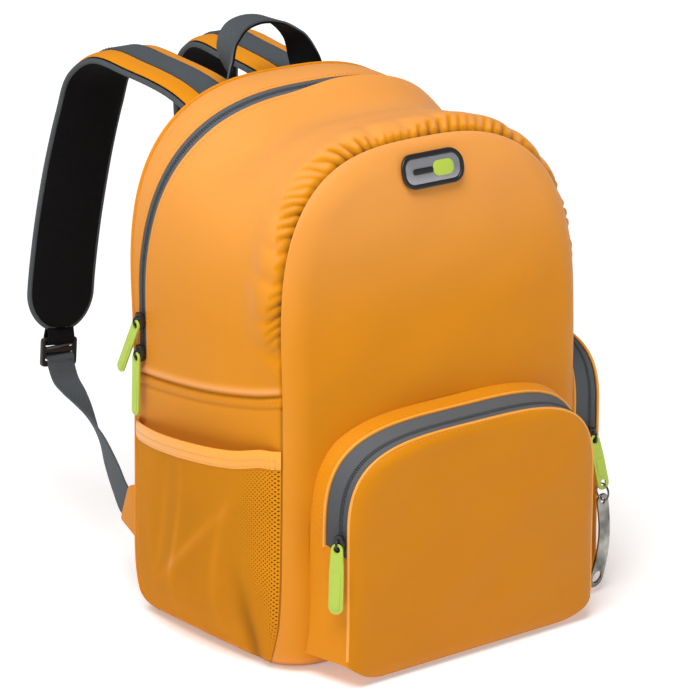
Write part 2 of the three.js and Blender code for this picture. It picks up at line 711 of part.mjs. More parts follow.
function roundedHole(w, h, corner) {
  const { shape } = roundedPlate(-w, w, -h, h, corner, 1, 4);
  return new THREE.Path(shape.getPoints(4).reverse());
}

// Pull tab: lies in the XY plane and hangs down -Y from the hole at its origin
function pullTab(length, width, ringHole) {
  const half = width / 2;
  const top = PULL.inset;
  const shape = new THREE.Shape();
  shape.absarc(0, 0, top, 0, Math.PI, false);
  shape.lineTo(-half, -length * 0.35);
  shape.lineTo(-half, -length + half);
  shape.absarc(0, -length + half, half, Math.PI, Math.PI * 2, false);
  shape.lineTo(half, -length * 0.35);
  shape.holes.push(circleHole(0, 0, PULL.hole / 2));
  if (ringHole) shape.holes.push(circleHole(0, -length + half, PULL.hole / 2));
  return extrude(shape, null, PULL.thick, 3);
}

const solids = await Module();
solids.setup();

// Join two closed geometries into one
function join(first, second) {
  const [a, b] = [first, second].map((geometry) => {
    const loose = geometry.index ? geometry.toNonIndexed() : geometry;
    const bare = new THREE.BufferGeometry().setAttribute("position", loose.getAttribute("position"));
    const merged = mergeVertices(bare, 1e-3);
    const triVerts = new Uint32Array(merged.index.array);
    const vertProperties = merged.attributes.position.array;
    return new solids.Manifold(new solids.Mesh({ numProp: 3, vertProperties, triVerts }));
  });
  const mesh = a.add(b).getMesh();
  const geometry = new THREE.BufferGeometry();
  geometry.setAttribute("position", new THREE.BufferAttribute(mesh.vertProperties, 3));
  geometry.setIndex(new THREE.BufferAttribute(mesh.triVerts, 1));
  return geometry;
}

// Zip slider: shield-shaped body and a bail that carries the pull; origin in the middle of the bail
function slider() {
  const half = SLIDER.width / 2;
  const shape = new THREE.Shape();
  shape.moveTo(-half * 0.55, SLIDER.length / 2);
  shape.lineTo(-half, 0);
  shape.lineTo(-half * 0.7, -SLIDER.length / 2);
  shape.lineTo(half * 0.7, -SLIDER.length / 2);
  shape.lineTo(half, 0);
  shape.lineTo(half * 0.55, SLIDER.length / 2);
  const body = extrude(shape, null, SLIDER.thick, 1).translate(0, 0, -SLIDER.thick);
  const bail = new THREE.TorusGeometry(BAIL.radius, BAIL.wire, 5, 12).rotateY(Math.PI / 2);
  return join(body, bail);
}

// Opener: flat bar with an eye at the top and a hooked mouth below
function openerBar() {
  const half = OPENER.width / 2;
  const end = -OPENER.length + half;
  const shape = new THREE.Shape();
  shape.absarc(0, 0, half * 0.8, 0, Math.PI, false);
  shape.lineTo(-half * 0.72, -OPENER.length * 0.4);
  shape.lineTo(-half, end);
  shape.absarc(0, end, half, Math.PI, Math.PI * 2, false);
  shape.lineTo(half * 0.72, -OPENER.length * 0.4);
  shape.holes.push(circleHole(0, 0, OPENER.eye / 2));
  shape.holes.push(circleHole(0, end + 1, half * 0.58));
  const hang = 4 / Math.PI;
  return bend(extrude(shape, null, OPENER.thick, 5), (x, y, z) => {
    const share = clamp(-y / OPENER.length, 0, 1);
    return vec(x + OPENER.bow * (Math.sin(Math.PI * share) - hang * share), y, z);
  });
}

// Stand a flat piece up: its X across, its Y up, its Z outward; lean swings its foot out, turn faces it
function stand(geometry, place, turn, lean, swing = 0) {
  geometry.rotateZ(swing).rotateX(-lean).rotateX(Math.PI / 2).rotateZ(turn);
  return geometry.translate(place.x, place.y, place.z);
}

const bag = new THREE.Group();
bag.name = "cooler_backpack";

const MATERIALS = {
  nylon: { color: 0xd98a20, roughness: 0.55 },
  mesh: { color: 0xc8832a, roughness: 0.8 },
  binding: { color: 0xeea040, roughness: 0.6 },
  zip: { color: 0x4a5156, roughness: 0.7 },
  webbing: { color: 0x4a5054, roughness: 0.8 },
  black: { color: 0x111214, roughness: 0.85 },
  plastic: { color: 0x17181a, roughness: 0.45 },
  lime: { color: 0xb2cc50, roughness: 0.5 },
  steel: { color: 0xb8bcc0, roughness: 0.25, metalness: 1 },
};

function add(name, material, geometry) {
  const mesh = new THREE.Mesh(geometry, new THREE.MeshStandardMaterial(MATERIALS[material]));
  mesh.name = name;
  bag.add(mesh);
}

const noRelief = () => 0;
const zipLine = (along, depth, offset) => zipShare(along) + offset / depth;
add("front_panel", "nylon", archedPanel(12, 10, FRONT_ARCH, frontHalf, frontFace, -1, 0, PANEL_LOW));
add("back_panel", "nylon", archedPanel(12, 9, BACK_ARCH, backHalf, backFace, 1, BACK_PAD, PANEL_LOW));
add("zip_gusset_front", "nylon", gussetStrip(
  66, 4, (a, d) => SEAM_GAP / d, (a, d) => zipLine(a, d, -ZIP_HALF - GAP), WALL, pucker, PUCKER_EASE,
));
add("zip_gusset_rear", "nylon", gussetStrip(
  40, 1, (a, d) => zipLine(a, d, ZIP_HALF + GAP), (a, d) => 1 - SEAM_GAP / d, WALL, noRelief, 1,
));
add("main_zip", "zip", gussetStrip(
  40, 1, (a, d) => zipLine(a, d, -ZIP_HALF), (a, d) => zipLine(a, d, ZIP_HALF),
  ZIP_THICK, () => -ZIP_DROP, 1,
));
add("side_panel_left", "nylon", sidePanel(-1));
add("side_panel_right", "nylon", sidePanel(1));
const basePlate = roundedPlate(-BASE.half, BASE.half, BASE.front, BASE.back, BASE.corner, WALL, 6);
add("base_panel", "nylon", basePlate.solid());

add("front_pocket_face", "nylon", frontPocket.face);
add("front_pocket_zip", "zip", frontPocket.zip);
add("front_pocket_gusset", "nylon", frontPocket.gusset);
add("front_pocket_floor", "nylon", pocketFloor(FRONT_POCKET, (x, z) => -frontFace(x, z), seatFront));
add("side_pocket_face", "nylon", sidePocket.face);
add("side_pocket_zip", "zip", sidePocket.zip);
add("side_pocket_gusset", "nylon", sidePocket.gusset);
add("side_pocket_floor", "nylon", pocketFloor(SIDE_POCKET, (y, z) => sideOut(y, z), seatRight));
add("mesh_pocket", "mesh", meshWall);
add("mesh_pocket_binding", "binding", meshBinding);

for (const [side, label] of [[-1, "left"], [1, "right"]]) {
  add(`strap_pad_${label}`, "black", strapPad(side));
  add(`strap_face_${label}`, "nylon", strapFace(side));
  add(`strap_face_webbing_${label}`, "webbing", strapFaceWeb(side));
  add(`strap_binding_inner_${label}`, "webbing", strapBinding(side, -side));
  add(`strap_binding_outer_${label}`, "webbing", strapBinding(side, side));
  add(`strap_keeper_${label}`, "black", keeper(side));
  add(`strap_buckle_${label}`, "plastic", buckle(side));
  add(`strap_webbing_${label}`, "webbing", lowerWeb(side));
  add(`strap_tab_${label}`, "nylon", cornerTab(side));
}

add("haul_loop", "webbing", loopBand(0, WEBBING));
add("haul_loop_lining", "black", loopBand(-LOOP_LINING - LOOP_LINING_GAP, -LOOP_LINING_GAP));
add("badge_rim", "plastic", badgePart(0, BADGE.rim, 0, BADGE.thick));
add("badge_field", "plastic", badgePart(BADGE.rim + 0.4, 0, 0, BADGE.thick - 0.8));

// Sliders sit on their zips, pulls hang from the bails
const LEFT = -Math.PI / 2;
function zipEnd(label, seat, turn, pull) {
  const out = vec(0, -1, 0).applyAxisAngle(vec(0, 0, 1), turn);
  const front = seat.clone().addScaledVector(out, SLIDER.thick + pull.lift);
  const clear = 0.4 + PULL.inset * Math.sin(pull.lean);
  const drop = Math.sqrt(BAIL.radius ** 2 - (clear + PULL.thick / 2) ** 2);
  const hung = front.clone().addScaledVector(out, clear).add(vec(0, 0, -drop));
  add(`${label}_slider`, "plastic", stand(slider(), front, turn, 0));
  const tab = pullTab(pull.length, pull.width, pull.ring);
  add(`${label}_pull`, "lime", stand(tab, hung, turn, pull.lean, pull.swing));
  return hung;
}

function onMainZip(along) {
  const frontShare = lerp(frontStart, 1 - frontStart, along);
  const backShare = lerp(backStart, 1 - backStart, along);
  const { point } = gussetFrame(frontShare, backShare, zipShare(along));
  return point;
}

const onPocketZip = (spec, pocket, share, k, seat) => {
  const at = pocket.band(share, k);
  return seat(spec.mid + at.across, at.up, at.out);
};
const tabPull = { length: 46, width: 9, ring: false, lean: degToRad(2), lift: 0.5 };
const sidewaysPull = { ...tabPull, swing: degToRad(-27) };
zipEnd("main_zip_lower", onMainZip(0.012), LEFT, tabPull);
zipEnd("main_zip_upper", onMainZip(0.056), LEFT, sidewaysPull);
const frontZipSeat = onPocketZip(FRONT_POCKET, frontPocket, frontPocket.zipFrom + 0.012, 0.2, seatFront);
const frontPull = { length: 50, width: PULL.width, ring: false, lean: degToRad(3), lift: 2.2 };
zipEnd("front_pocket", frontZipSeat, degToRad(-60), frontPull);
const sideZipSeat = onPocketZip(SIDE_POCKET, sidePocket, sidePocket.zipFrom + 0.018, 0.36, seatRight);
const sidePull = {
  length: 42, width: PULL.width, ring: true, lean: degToRad(6), lift: 1.2, swing: degToRad(10),
};
const sideHole = zipEnd("side_pocket", sideZipSeat, 0, sidePull);

// Split ring through the side pull, and the opener hanging from it
const reach = sidePull.length - PULL.width / 2;
const drop = reach * Math.cos(sidePull.swing);
const middle = PULL.thick / 2;
const ringHole = sideHole.clone().add(vec(
  reach * Math.sin(sidePull.swing),
  -drop * Math.sin(sidePull.lean) - middle * Math.cos(sidePull.lean),
  -drop * Math.cos(sidePull.lean) + middle * Math.sin(sidePull.lean),
));
const ringMiddle = ringHole.clone().add(vec(0, 0, -RING.slack - RING.radius));
const ring = new THREE.TorusGeometry(RING.radius, RING.wire, 6, 16).rotateY(Math.PI / 2);
add("split_ring", "steel", ring.translate(ringMiddle.x, ringMiddle.y, ringMiddle.z));
const eye = ringMiddle.clone().add(vec(0, OPENER.thick / 2, -RING.radius - OPENER.slack));
add("bottle_opener", "steel", stand(openerBar(), eye, 0, 0));

export default bag;
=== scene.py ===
"""Looks of an insulated cooler backpack: cloth shell, pockets, straps, zips and small hardware."""
import math
from collections import namedtuple

import bmesh
import bpy
import numpy as np
from bpy.props import FloatProperty, FloatVectorProperty, PointerProperty
from mathutils import Matrix, Vector


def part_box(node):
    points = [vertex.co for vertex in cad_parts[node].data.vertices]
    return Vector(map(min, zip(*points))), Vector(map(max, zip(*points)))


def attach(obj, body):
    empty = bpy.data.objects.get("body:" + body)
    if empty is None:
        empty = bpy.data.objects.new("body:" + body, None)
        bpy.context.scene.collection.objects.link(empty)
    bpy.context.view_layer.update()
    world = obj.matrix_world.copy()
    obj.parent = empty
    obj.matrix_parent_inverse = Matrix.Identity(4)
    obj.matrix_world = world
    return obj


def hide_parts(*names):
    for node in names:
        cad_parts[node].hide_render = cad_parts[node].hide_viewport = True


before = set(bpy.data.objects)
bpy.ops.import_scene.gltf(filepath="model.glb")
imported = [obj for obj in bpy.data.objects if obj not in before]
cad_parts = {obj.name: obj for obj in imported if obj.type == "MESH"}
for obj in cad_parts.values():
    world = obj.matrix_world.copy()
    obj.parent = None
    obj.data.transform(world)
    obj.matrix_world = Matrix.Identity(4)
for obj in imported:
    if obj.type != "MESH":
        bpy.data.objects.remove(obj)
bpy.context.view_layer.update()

bl_info = {
    "name": "Cooler backpack",
    "version": (1, 0, 0),
    "blender": (4, 5, 0),
    "location": "View3D > Sidebar > Backpack",
    "description": "Dresses the packed frame of an insulated backpack with cloth, zips and straps",
    "category": "Object",
}

# Tables are in millimetres, apart from the columns named here, which hold shares and degrees
MM = 0.001
PLAIN_COLUMNS = {"at", "share", "turn"}
LEFT, RIGHT = -1, 1
FRONT_SIDE, BACK_SIDE = -1, 1
SIDES = ((LEFT, "left"), (RIGHT, "right"))

Arch = namedtuple("Arch", "spring top power lean")
Drape = namedtuple("Drape", "seed height length")
Wave = namedtuple("Wave", "mean swing length start")


class Table:
    """Rows under named columns, in metres, read smoothly along the first column."""

    def __init__(self, names, *rows):
        self.names = names.split()
        scale = [1 if name in PLAIN_COLUMNS else MM for name in self.names]
        self.rows = np.array(rows, float) * scale

    def read(self, name, at, by_row=False):
        """One column at places along the first column, or at shares of the rows."""
        values = self.rows[:, self.names.index(name)]
        knots = np.linspace(0, 1, len(values)) if by_row else self.rows[:, 0]
        ahead = np.minimum(np.arange(len(values)) + 1, len(values) - 1)
        behind = np.maximum(np.arange(len(values)) - 1, 0)
        slope = (values[ahead] - values[behind]) / (knots[ahead] - knots[behind])
        i = np.clip(np.searchsorted(knots, at, side="right") - 1, 0, len(knots) - 2)
        span = knots[i + 1] - knots[i]
        t = np.clip((at - knots[i]) / span, 0, 1)
        ends = (1 + 2 * t) * (1 - t) ** 2 * values[i] + (3 - 2 * t) * t**2 * values[i + 1]
        return ends + span * (t * (1 - t) ** 2 * slope[i] - t**2 * (1 - t) * slope[i + 1])

    def points(self):
        """The x, y and z columns."""
        return self.rows[:, :3]


# Shell: half width and depth of each seam, and the flat of the panel, at each height
FRONT_ARCH = Arch(0.244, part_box("front_panel")[1].z, 2.85, 0)
FRONT_SEAM = Table(
    "z half y face roll",
    (0, 135, -66, -91, 38),
    (14, 138, -75, -98, 32),
    (45, 140, -86, -100, 22),
    (119, 141, -91, -100, 18),
    (209, 141, -92, -100, 18),
    (244, 141, -91, -99, 18),
    (299, 141, -88, -96, 18),
    (354, 141, -82, -90, 18),
    (394, 141, -74, -82, 18),
)
BACK_ARCH = Arch(0.244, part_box("back_panel")[1].z, 2.85, -0.007)
BACK_SEAM = Table(
    "z half y face roll",
    (0, 139, 80, 84, 30),
    (14, 146, 86, 91, 24),
    (45, 150, 88, 93, 20),
    (119, 149, 88, 93, 20),
    (244, 147, 88, 93, 20),
    (354, 147, 88, 93, 20),
    (418, 147, 86, 91, 20),
)
SIDE_TOP, SIDE_LOW = 0.213, 0.0035
PANEL_LOW = 0.0008
PANEL_CENTRE, PANEL_REACH = (0.0, 0.0, 0.2), 0.14
PANEL_ROLL = (2.2, 0.75)
ARCH_UPRIGHTS, ARCH_TURNS, ARCH_EASE, ARCH_LEAN_FROM = 16, 30, 1.6, 0.7
BASE_TUCK, BASE_TUCK_TO = 0.006, 0.016
BASE_CORNER, BASE_SOFTEN = 0.02, 0.0012
FRONT_BULGE, BACK_BULGE = 0.006, 0.004
FRONT_DRAPE, BACK_DRAPE = Drape(0.7, 0.0016, 0.05), Drape(2.2, 0.0012, 0.06)
DRAPE_EDGE = 0.2
SIDE_PUFF, SIDE_PUFF_POWER, SIDE_PUFF_RISE = 0.007, 0.7, (-0.004, 0.05)
SAG_DEPTH, SAG_ACROSS, SAG_WIDTH = 0.015, 0.52, 0.22
SAG_FROM, SAG_TO = 0.33, 0.39
WELT_SPAN, WELT_CELLS = (0.005, 0.995), 260

# Cells of the grids of the shell
FRONT_CELLS, BACK_CELLS, SIDE_CELLS = (110, 100), (80, 80), (170, 60)
STRIP_CELLS, REAR_STRIP_CELLS = (900, 40), (300, 8)

# Seam across each side: a groove, a fainter one below it and a ridge above it
SIDE_SEAM = Table("y z", (-95, 224), (-60, 216), (-10, 208), (40, 203), (90, 199))
SEAM_RIDGE, SEAM_RIDGE_AT, SEAM_RIDGE_WIDTH = 0.0012, 0.004, 0.003
SEAM_GROOVE, SEAM_GROOVE_WIDTH = 0.0018, 0.0014
LOWER_GROOVE, LOWER_GROOVE_AT, LOWER_GROOVE_WIDTH = 0.5, -0.009, 0.0012
SEAM_STITCH_SPAN, SEAM_STITCH_DROP, SEAM_STITCH_BAND = (0.03, 0.97, 80), 0.003, 0.004

# Painted shade and highlight of the cloth: painted shade in grooves, creases, seam valleys and on the
# pocket faces, painted highlight on ridges, along the front panel's rim and towards the top
GROOVE_SHADE, RIDGE_SHINE = 0.36, 0.2
PLEAT_SHADE, VALLEY_SHADE = 0.95, 0.55
RIM_SHINE, RIM_SIDES, RIM_SPAN = 0.04, 0.6, (0.02, 0.12)
TOP_HIGHLIGHT, TOP_HIGHLIGHT_SPAN, HIGHLIGHT_PALING = 0.13, (0.25, 0.38), 0.6
POCKET_SHADE = (0.15, 0.08)

# Valley, pleats and main gathers of the front gusset behind its seam
SEAM_VALLEY, SEAM_VALLEY_WIDTH = 0.0028, 0.002
PLEAT_SLANT, PLEAT_SLANT_TURN = (0.9, -0.6), (0.3, 0.5)
PLEAT_EASE, PLEAT_SHARPNESS, PLEAT_TAPER = 1.7, 1.3, 0.6
PLEAT_WANDER = (Wave(0, 1.3, 0.037, 0), Wave(0, 0.8, 0.0137, 1))
PLEAT_STRENGTH, PLEAT_LENGTHS = Wave(0.62, 0.38, 0.0117, 2), Wave(0.75, 0.35, 0.0231, 0)
PUCKER_ROLL_HEIGHT, PUCKER_ROLL_AT, PUCKER_ROLL_FADE = 0.006, 0.014, (0.03, 0.16)
PUCKER_TAPER = 0.8
PUCKERS = Table(
    "at reach depth spread lean",
    (0.02, 22, 1.6, 6, 4),
    (0.07, 30, 2.4, 6, 6),
    (0.12, 26, 2.6, 5, -3),
    (0.165, 34, 3.0, 6, 8),
    (0.21, 24, 2.4, 5, 2),
    (0.25, 32, 2.8, 6, 7),
    (0.29, 26, 2.6, 5, 3),
    (0.335, 36, 3.0, 6, 8),
    (0.385, 28, 2.6, 5, 4),
    (0.43, 34, 2.8, 6, 6),
    (0.49, 24, 2.0, 6, -2),
    (0.55, 28, 2.2, 6, -5),
    (0.62, 24, 2.0, 6, -3),
    (0.68, 30, 2.6, 6, -6),
    (0.735, 26, 2.6, 5, -4),
    (0.79, 32, 2.8, 6, -8),
    (0.845, 26, 2.4, 5, -3),
    (0.9, 28, 2.2, 6, -5),
    (0.96, 22, 1.6, 6, -4),
)
ZIP_TRACK = Table(
    "at share",
    (0, 0.925),
    (0.12, 0.905),
    (0.25, 0.83),
    (0.38, 0.765),
    (0.5, 0.755),
    (0.62, 0.765),
    (0.75, 0.83),
    (0.88, 0.905),
    (1, 0.925),
)

# Pockets
PocketForm = namedtuple(
    "PocketForm", "mid face face_half foot foot_half edge depth bulge roll zip_end zip_share",
)
FRONT_POCKET = PocketForm(
    0.004, Arch(0.109, 0.186, 3.6, 0), 0.119, Arch(0.109, 0.199, 3.6, 0), 0.127,
    0.138, 0.004, 0.005, 0.012, 0.109, 0.6,
)
SIDE_POCKET = PocketForm(
    -0.017, Arch(0.149, 0.207, 3, 0), 0.072, Arch(0.149, 0.212, 3, 0), 0.075,
    0.172, 0.003, 0.003, 0.010, 0.121, 0.86,
)
FRONT_POCKET_DRAPE, SIDE_POCKET_DRAPE = Drape(1.9, 0.0018, 0.045), Drape(3.1, 0.0018, 0.045)
POCKET_DRAPE_EDGE = 0.16
POCKET_LOW, POCKET_CORNER, POCKET_CORNER_FROM, POCKET_CORNER_POWER = 0.004, 0.015, 0.7, 2.2
POCKET_WIDEN, POCKET_WIDEN_TO = 0.001, 0.06
POCKET_TUCK, POCKET_TUCK_TO = 0.007, 0.016
POCKET_ZIP_START, POCKET_ZIP_END, POCKET_ZIP_TURN = 0.0022, 0.02, (0.012, 0.004)
POCKET_FACE_CELLS, POCKET_GUSSET_CELLS, POCKET_FLOOR_CELLS = (90, 70), (160, 16), (60, 12)
GUSSET_SEAM_GAP, WALL_SEAM, POCKET_SEAM_STEPS = 0.14, 0.94, 120
FACE_SEAM, FACE_SEAM_SPAN = 0.93, (0.02, 0.98, 160)

# Straps
PAD = Table(
    "x y z half",
    (-45, 96, 375, 27),
    (-45, 140, 394, 28),
    (-47, 200, 403, 29),
    (-50, 246, 405, 29),
    (-54, 272, 387, 29),
    (-58, 282, 357, 29),
    (-65, 289, 316, 29),
    (-74, 291, 271, 29),
    (-80, 291, 238, 29),
    (-85, 290, 207, 29),
    (-89, 287.5, 175, 29),
)
PAD_END_FROM, PAD_END_TIP, PAD_EASE = 0.91, 0.95, 1.35
WEB_START = Table(
    "along out turn",
    (16.8, -2.2, 0),
    (16.8, 0.8, 0),
    (17.5, 3, 0),
    (19.6, 3.4, 0),
    (21.8, 3, 0),
    (24.4, 0.4, 0),
    (26.2, -3.5, 0),
    (31, -4.6, 0),
)
LOWER_WEB = Table(
    "x y z turn",
    (-93, 274, 133, -4),
    (-95.5, 258, 126, -14),
    (-100, 236, 118, -36),
    (-107, 208, 108, -62),
    (-115, 184, 100, -80),
    (-127, 151, 89, -90),
    (-137, 123, 80, -92),
    (-137.5, 110, 76, -92),
)
KEEPER = Table(
    "along out",
    (0.8, -1.4),
    (5, -2.6),
    (9, -3.5),
    (13, -3.2),
    (15.3, 0),
    (13, 3.2),
    (9, 3.5),
    (5, 2.6),
    (0.8, 1.4),
)
BUCKLE_X = (-0.017, -0.0136, 0.0136, 0.017)
BUCKLE_Y = (0.0094, 0.0126, 0.0176, 0.0216, 0.0288, 0.0334)
LOOP_MID = -0.008
LOOP = Table(
    "x y z turn",
    (-36, 97, 391, -90),
    (-36, 99, 405, -64),
    (-35, 106, 421, -28),
    (-31, 114, 436, -6),
    (-19, 120, 447, 0),
    (0, 122, 451, 0),
)

# Zips and piping
ZIP_HALF, ZIP_DROP, ZIP_THICK, ZIP_SEAM = 0.005, 0.0005, 0.0016, 0.0028
ZIP_CELLS, POCKET_ZIP_CELLS, ZIP_SEAM_SPAN = (200, 6), (140, 6), (0, 1, 240)
COIL_HALF = (0.0008, 0.0021, 0.0009)
MAIN_COIL_AT, POCKET_COIL_AT = 0.5, 0.3
ZIP_SHADE, ZIP_SHADE_ENDS = 0.4, 0.3
ZIP_LIP, LIP_WIDTH = 0.0055, 0.016
LIP_RISE, LIP_FADE = (0.44, 0.54), (0.74, 0.9)
PIPING, PIPING_END, PIPING_STEPS, PIPING_CELLS = 0.0012, 0.008, 160, 180
PIPING_ON_FACE, PIPING_GAP = 0.25, 0.04
PIPING_SLANT = (0.31, 0.17, 0.93)

# Net pocket
MESH_RIM = Table("y top", (-78, 181), (-52, 175), (0, 170), (40, 166), (72, 163))
MESH_BACK, MESH_LOW, MESH_FRONT = 0.082, 0.003, 0.001
MESH_STAND, MESH_STAND_LOW = 0.013, 0.55
MESH_SAG_ACROSS, MESH_SAG_UP, MESH_SAG_QUICK = 0.8, 0.7, 4
MESH_GAP, MESH_GAP_ENDS = 0.0026, (-0.01, 0.03)
MESH_TALL, NET_SHADE, FOLD_SHINE = 0.16, 0.12, 0.16
MESH_FOLDS = Table(
    "foot rim depth spread",
    (24, 6, 1.4, 7),
    (100, -110, 1.3, 8),
    (48, 76, 1.2, 8),
    (-22, -58, 1.2, 9),
    (70, 10, -1, 9),
)
FOLD_BEND, FOLD_BEND_TURN, FOLD_BEND_SHIFT = 0.006, 5, 40
CORNER_FOLD, CORNER_FOLD_WIDTH, CORNER_SHADE = 0.002, 0.006, 0.4
CORNER_FOLD_AT, CORNER_FOLD_SLANT, CORNER_FOLD_FADE = 0.012, 0.3, (0.02, 0.1)
NET_CELLS, BINDING_CELLS = (120, 110), (90, 12)
MESH_BINDING, BINDING_THICK, BINDING_ROUND = 0.014, 0.0026, (0.6, 4)
BINDING_SEAMS, BINDING_SEAM_SPAN = (0.14, 0.5), (0.01, 0.99, 120)

# Strap layers, buckle, corner tab and loop lining
PAD_SPAN, PAD_CELLS, PAD_ROUND = (0, 1), (120, 18), (0.5, 6)
FACE_SPAN, FACE_CELLS, FACE_ROUND = (0.004, 0.985), (120, 14), (0.7, 8)
FACE_WIDTH, FACE_LIFT, FACE_THICK = 0.99, 0.0006, 0.0014
BAND_SPAN, BAND_CELLS, BAND_ROUND = (0.008, 0.975), (120, 10), (0.3, 8)
BAND_SEAMS, BAND_SEAM_SPAN = (0.09, 0.91), (0.01, 0.96, 200)
BINDING_STAND, BINDING_ROLL_CELLS = 0.0012, (240, 12)
EDGE_STEPS, EDGE_START, TIP_IN, TIP_ALONG = 60, 0.006, 0.6, 0.8
KEEPER_THICK, KEEPER_CELLS, LOWER_WEB_CELLS = 0.0013, (60, 8), (140, 10)
BUCKLE_THICK, BUCKLE_CORNER, BUCKLE_SOFTEN = 0.004, 0.003, 0.0007
TAB_X, TAB_THICK, TAB_SOFTEN = 0.1375, 0.0042, 0.0008
TAB_OUTLINE = [(0.088, 0.046, 0), (0.127, 0.064, 0.003), (0.115, 0.095, 0.003), (0.088, 0.104, 0)]
LINING_GAP, LINING_THICK, LOOP_CELLS = 0.0004, 0.0014, (120, 10)

# Badge, with the bar and the pill on its field
Mark = namedtuple("Mark", "shift half_x half_y corner")
BADGE_Z, BADGE_HALF_X, BADGE_HALF_Y, BADGE_CORNER = 0.373, 0.029, 0.0125, 0.0108
BADGE_RIM, BADGE_GAP, BADGE_STAND, BADGE_WRAP = 0.003, 0.0002, 0.0019, 0.9
BADGE_THICK, FIELD_THICK, MARK_THICK = 0.0024, 0.0016, 0.0004
BADGE_SOFTEN, BADGE_SOFTEN_SHARE = 0.0006, 0.4
BADGE_BAR = Mark(-0.0095, 0.0095, 0.0022, 0.002)
BADGE_PILL = Mark(0.0095, 0.0098, 0.0056, 0.005)

# Sliders and pulls; the ROUND values are the shares of a half width that a round corner takes
Pull = namedtuple("Pull", "length width ring lean lift swing")
ROUND, FULL_ROUND, HOLE_ROUND = 0.98, 0.99, 0.999
SLIDER_WIDTH, SLIDER_LENGTH, SLIDER_THICK, SLIDER_SOFTEN = 0.010, 0.013, 0.0044, 0.0007
SLIDER_HEAD, SLIDER_TAIL, SLIDER_CORNER, SLIDER_TAIL_CORNER = 0.55, 0.7, 0.001, 0.0015
BAIL_RADIUS, BAIL_WIRE = 0.0036, 0.0008
PULL_WIDTH, PULL_THICK, PULL_HOLE, PULL_INSET = 0.0115, 0.002, 0.0052, 0.0044
PULL_SHOULDER, PULL_SHOULDER_CORNER, PULL_SOFTEN, PULL_CLEAR = 0.35, 0.004, 0.0005, 0.0004
GRIP_HALF, GRIP_CORNER, GRIP_FOOT = 0.62, 0.5, 0.6
GRIP_THICK, GRIP_SOFTEN, GRIP_SUNK = 0.0006, 0.0003, 0.0001
HANGING_PULL = Pull(0.046, 0.009, False, math.radians(2), 0.0005, 0.0)
SWUNG_PULL = HANGING_PULL._replace(swing=math.radians(-27))
FRONT_PULL = Pull(0.050, PULL_WIDTH, False, math.radians(3), 0.0022, 0.0)
SIDE_PULL = Pull(0.042, PULL_WIDTH, True, math.radians(6), 0.0012, math.radians(10))
MAIN_PULLS = (("main_zip_lower", 0.008, HANGING_PULL), ("main_zip_upper", 0.052, SWUNG_PULL))
MAIN_PULL_TURN, FRONT_PULL_TURN, SIDE_PULL_TURN = math.radians(-90), math.radians(-60), 0.0
FRONT_SLIDER_AT, SIDE_SLIDER_AT = (0.012, 0.2), (0.018, 0.36)

# Split ring and bottle opener
RING_RADIUS, RING_WIRE, RING_SLACK = 0.007, 0.0009, 0.0007
OPENER_LENGTH, OPENER_WIDTH, OPENER_THICK, OPENER_SOFTEN = 0.072, 0.015, 0.0022, 0.0006
OPENER_EYE, OPENER_SLACK, OPENER_BOW = 0.004, 0.00045, 0.006
OPENER_TOP, OPENER_WAIST, OPENER_WAIST_AT, OPENER_WAIST_CORNER = 0.8, 0.72, 0.4, 0.01
OPENER_MOUTH, OPENER_MOUTH_LIFT = 0.58, 0.001
OPENER_LONG_EDGE, OPENER_CUTS = 0.012, 5

# Camera of the photograph, and the part of its frame that the render fills
VIEW_AZIMUTH, VIEW_ELEVATION, VIEW_DISTANCE = -37.5, 17.5, 2.65
VIEW_TARGET = Vector((-0.0135, 0.0093, 0.2155))
FOCAL_PX, FRAME_PX = 1148, 700
CROP_LEFT, CROP_TOP, CROP_SIDE = 237, 235, 235
SENSOR_MM = 36

# Studio
Softbox = namedtuple("Softbox", "name place side power")
SOFTBOXES = (
    Softbox("key_softbox", (-1.1, -0.65, 2.9), 2.0, 106),
    Softbox("front_softbox", (0.4, -2.8, 1.2), 1.6, 5),
)
FLOOR_HALF = 12
FLOOR_GLOW, FLOOR_GLOW_FAR = 0.3, 0.72
FLOOR_GLOW_FROM, FLOOR_GLOW_TO = 0.8, 2.4
WORLD_GLOW, WORLD_SEEN = 0.2, 1.0

# Finishes: across and along are thread spacings in metres, the other numbers are shares
Woven = namedtuple("Woven", "name colour across along bump rough patch sheen specular")
WOVEN = (
    Woven("Orange nylon", "nylon", 0.0009, 0.0009, 0.25, 0.5, 0.06, 0.16, 0.1),
    Woven("Satin tape", "tape", 0.0011, 0.0007, 0.3, 0.42, 0.05, 0.2, 0.5),
    Woven("Zip tape", "zip_tape", 0.0012, 0.0008, 0.5, 0.7, 0.12, 0, 0.5),
    Woven("Grey webbing", "webbing", 0.0016, 0.0022, 0.8, 0.68, 0.12, 0, 0.5),
    Woven("Black padding", "padding", 0.0016, 0.0016, 0.6, 0.85, 0.2, 0, 0.12),
    Woven("Pocket net", "net", 0.0012, 0.0012, 0.2, 0.75, 0.12, 0, 0.08),
)
WEAVE_RELIEF, WOVEN_ROUGH_SPREAD, SHEEN_ROUGH = 0.5, 0.16, 0.4
NET_PITCH, NET_THREAD = 0.0034, -0.1
Moulded = namedtuple("Moulded", "name colour rough metal grain patch")
MOULDED = (
    Moulded("Sewing thread", "thread", 0.6, 0, 0.3, 0.06),
    Moulded("Grey thread", "webbing", 0.6, 0, 0.3, 0.06),
    Moulded("Zip coil", "zip_coil", 0.4, 0, 0.1, 0.06),
    Moulded("Black plastic", "plastic", 0.38, 0, 0.2, 0.06),
    Moulded("Badge field", "badge", 0.35, 0.7, 0.1, 0.06),
    Moulded("Lime rubber", "lime", 0.45, 0, 0.15, 0.06),
    # Polished steel: its large patch share paints light and dark mottling into its colour, a painted
    # reflection
    Moulded("Polished steel", "steel", 0.2, 1, 0.03, 1.7),
    Moulded("Studio floor", "floor", 0.9, 0, 0, 0),
)
MOULDED_PATCHES, MOULDED_ROUGH_SPREAD = 60, 0.2
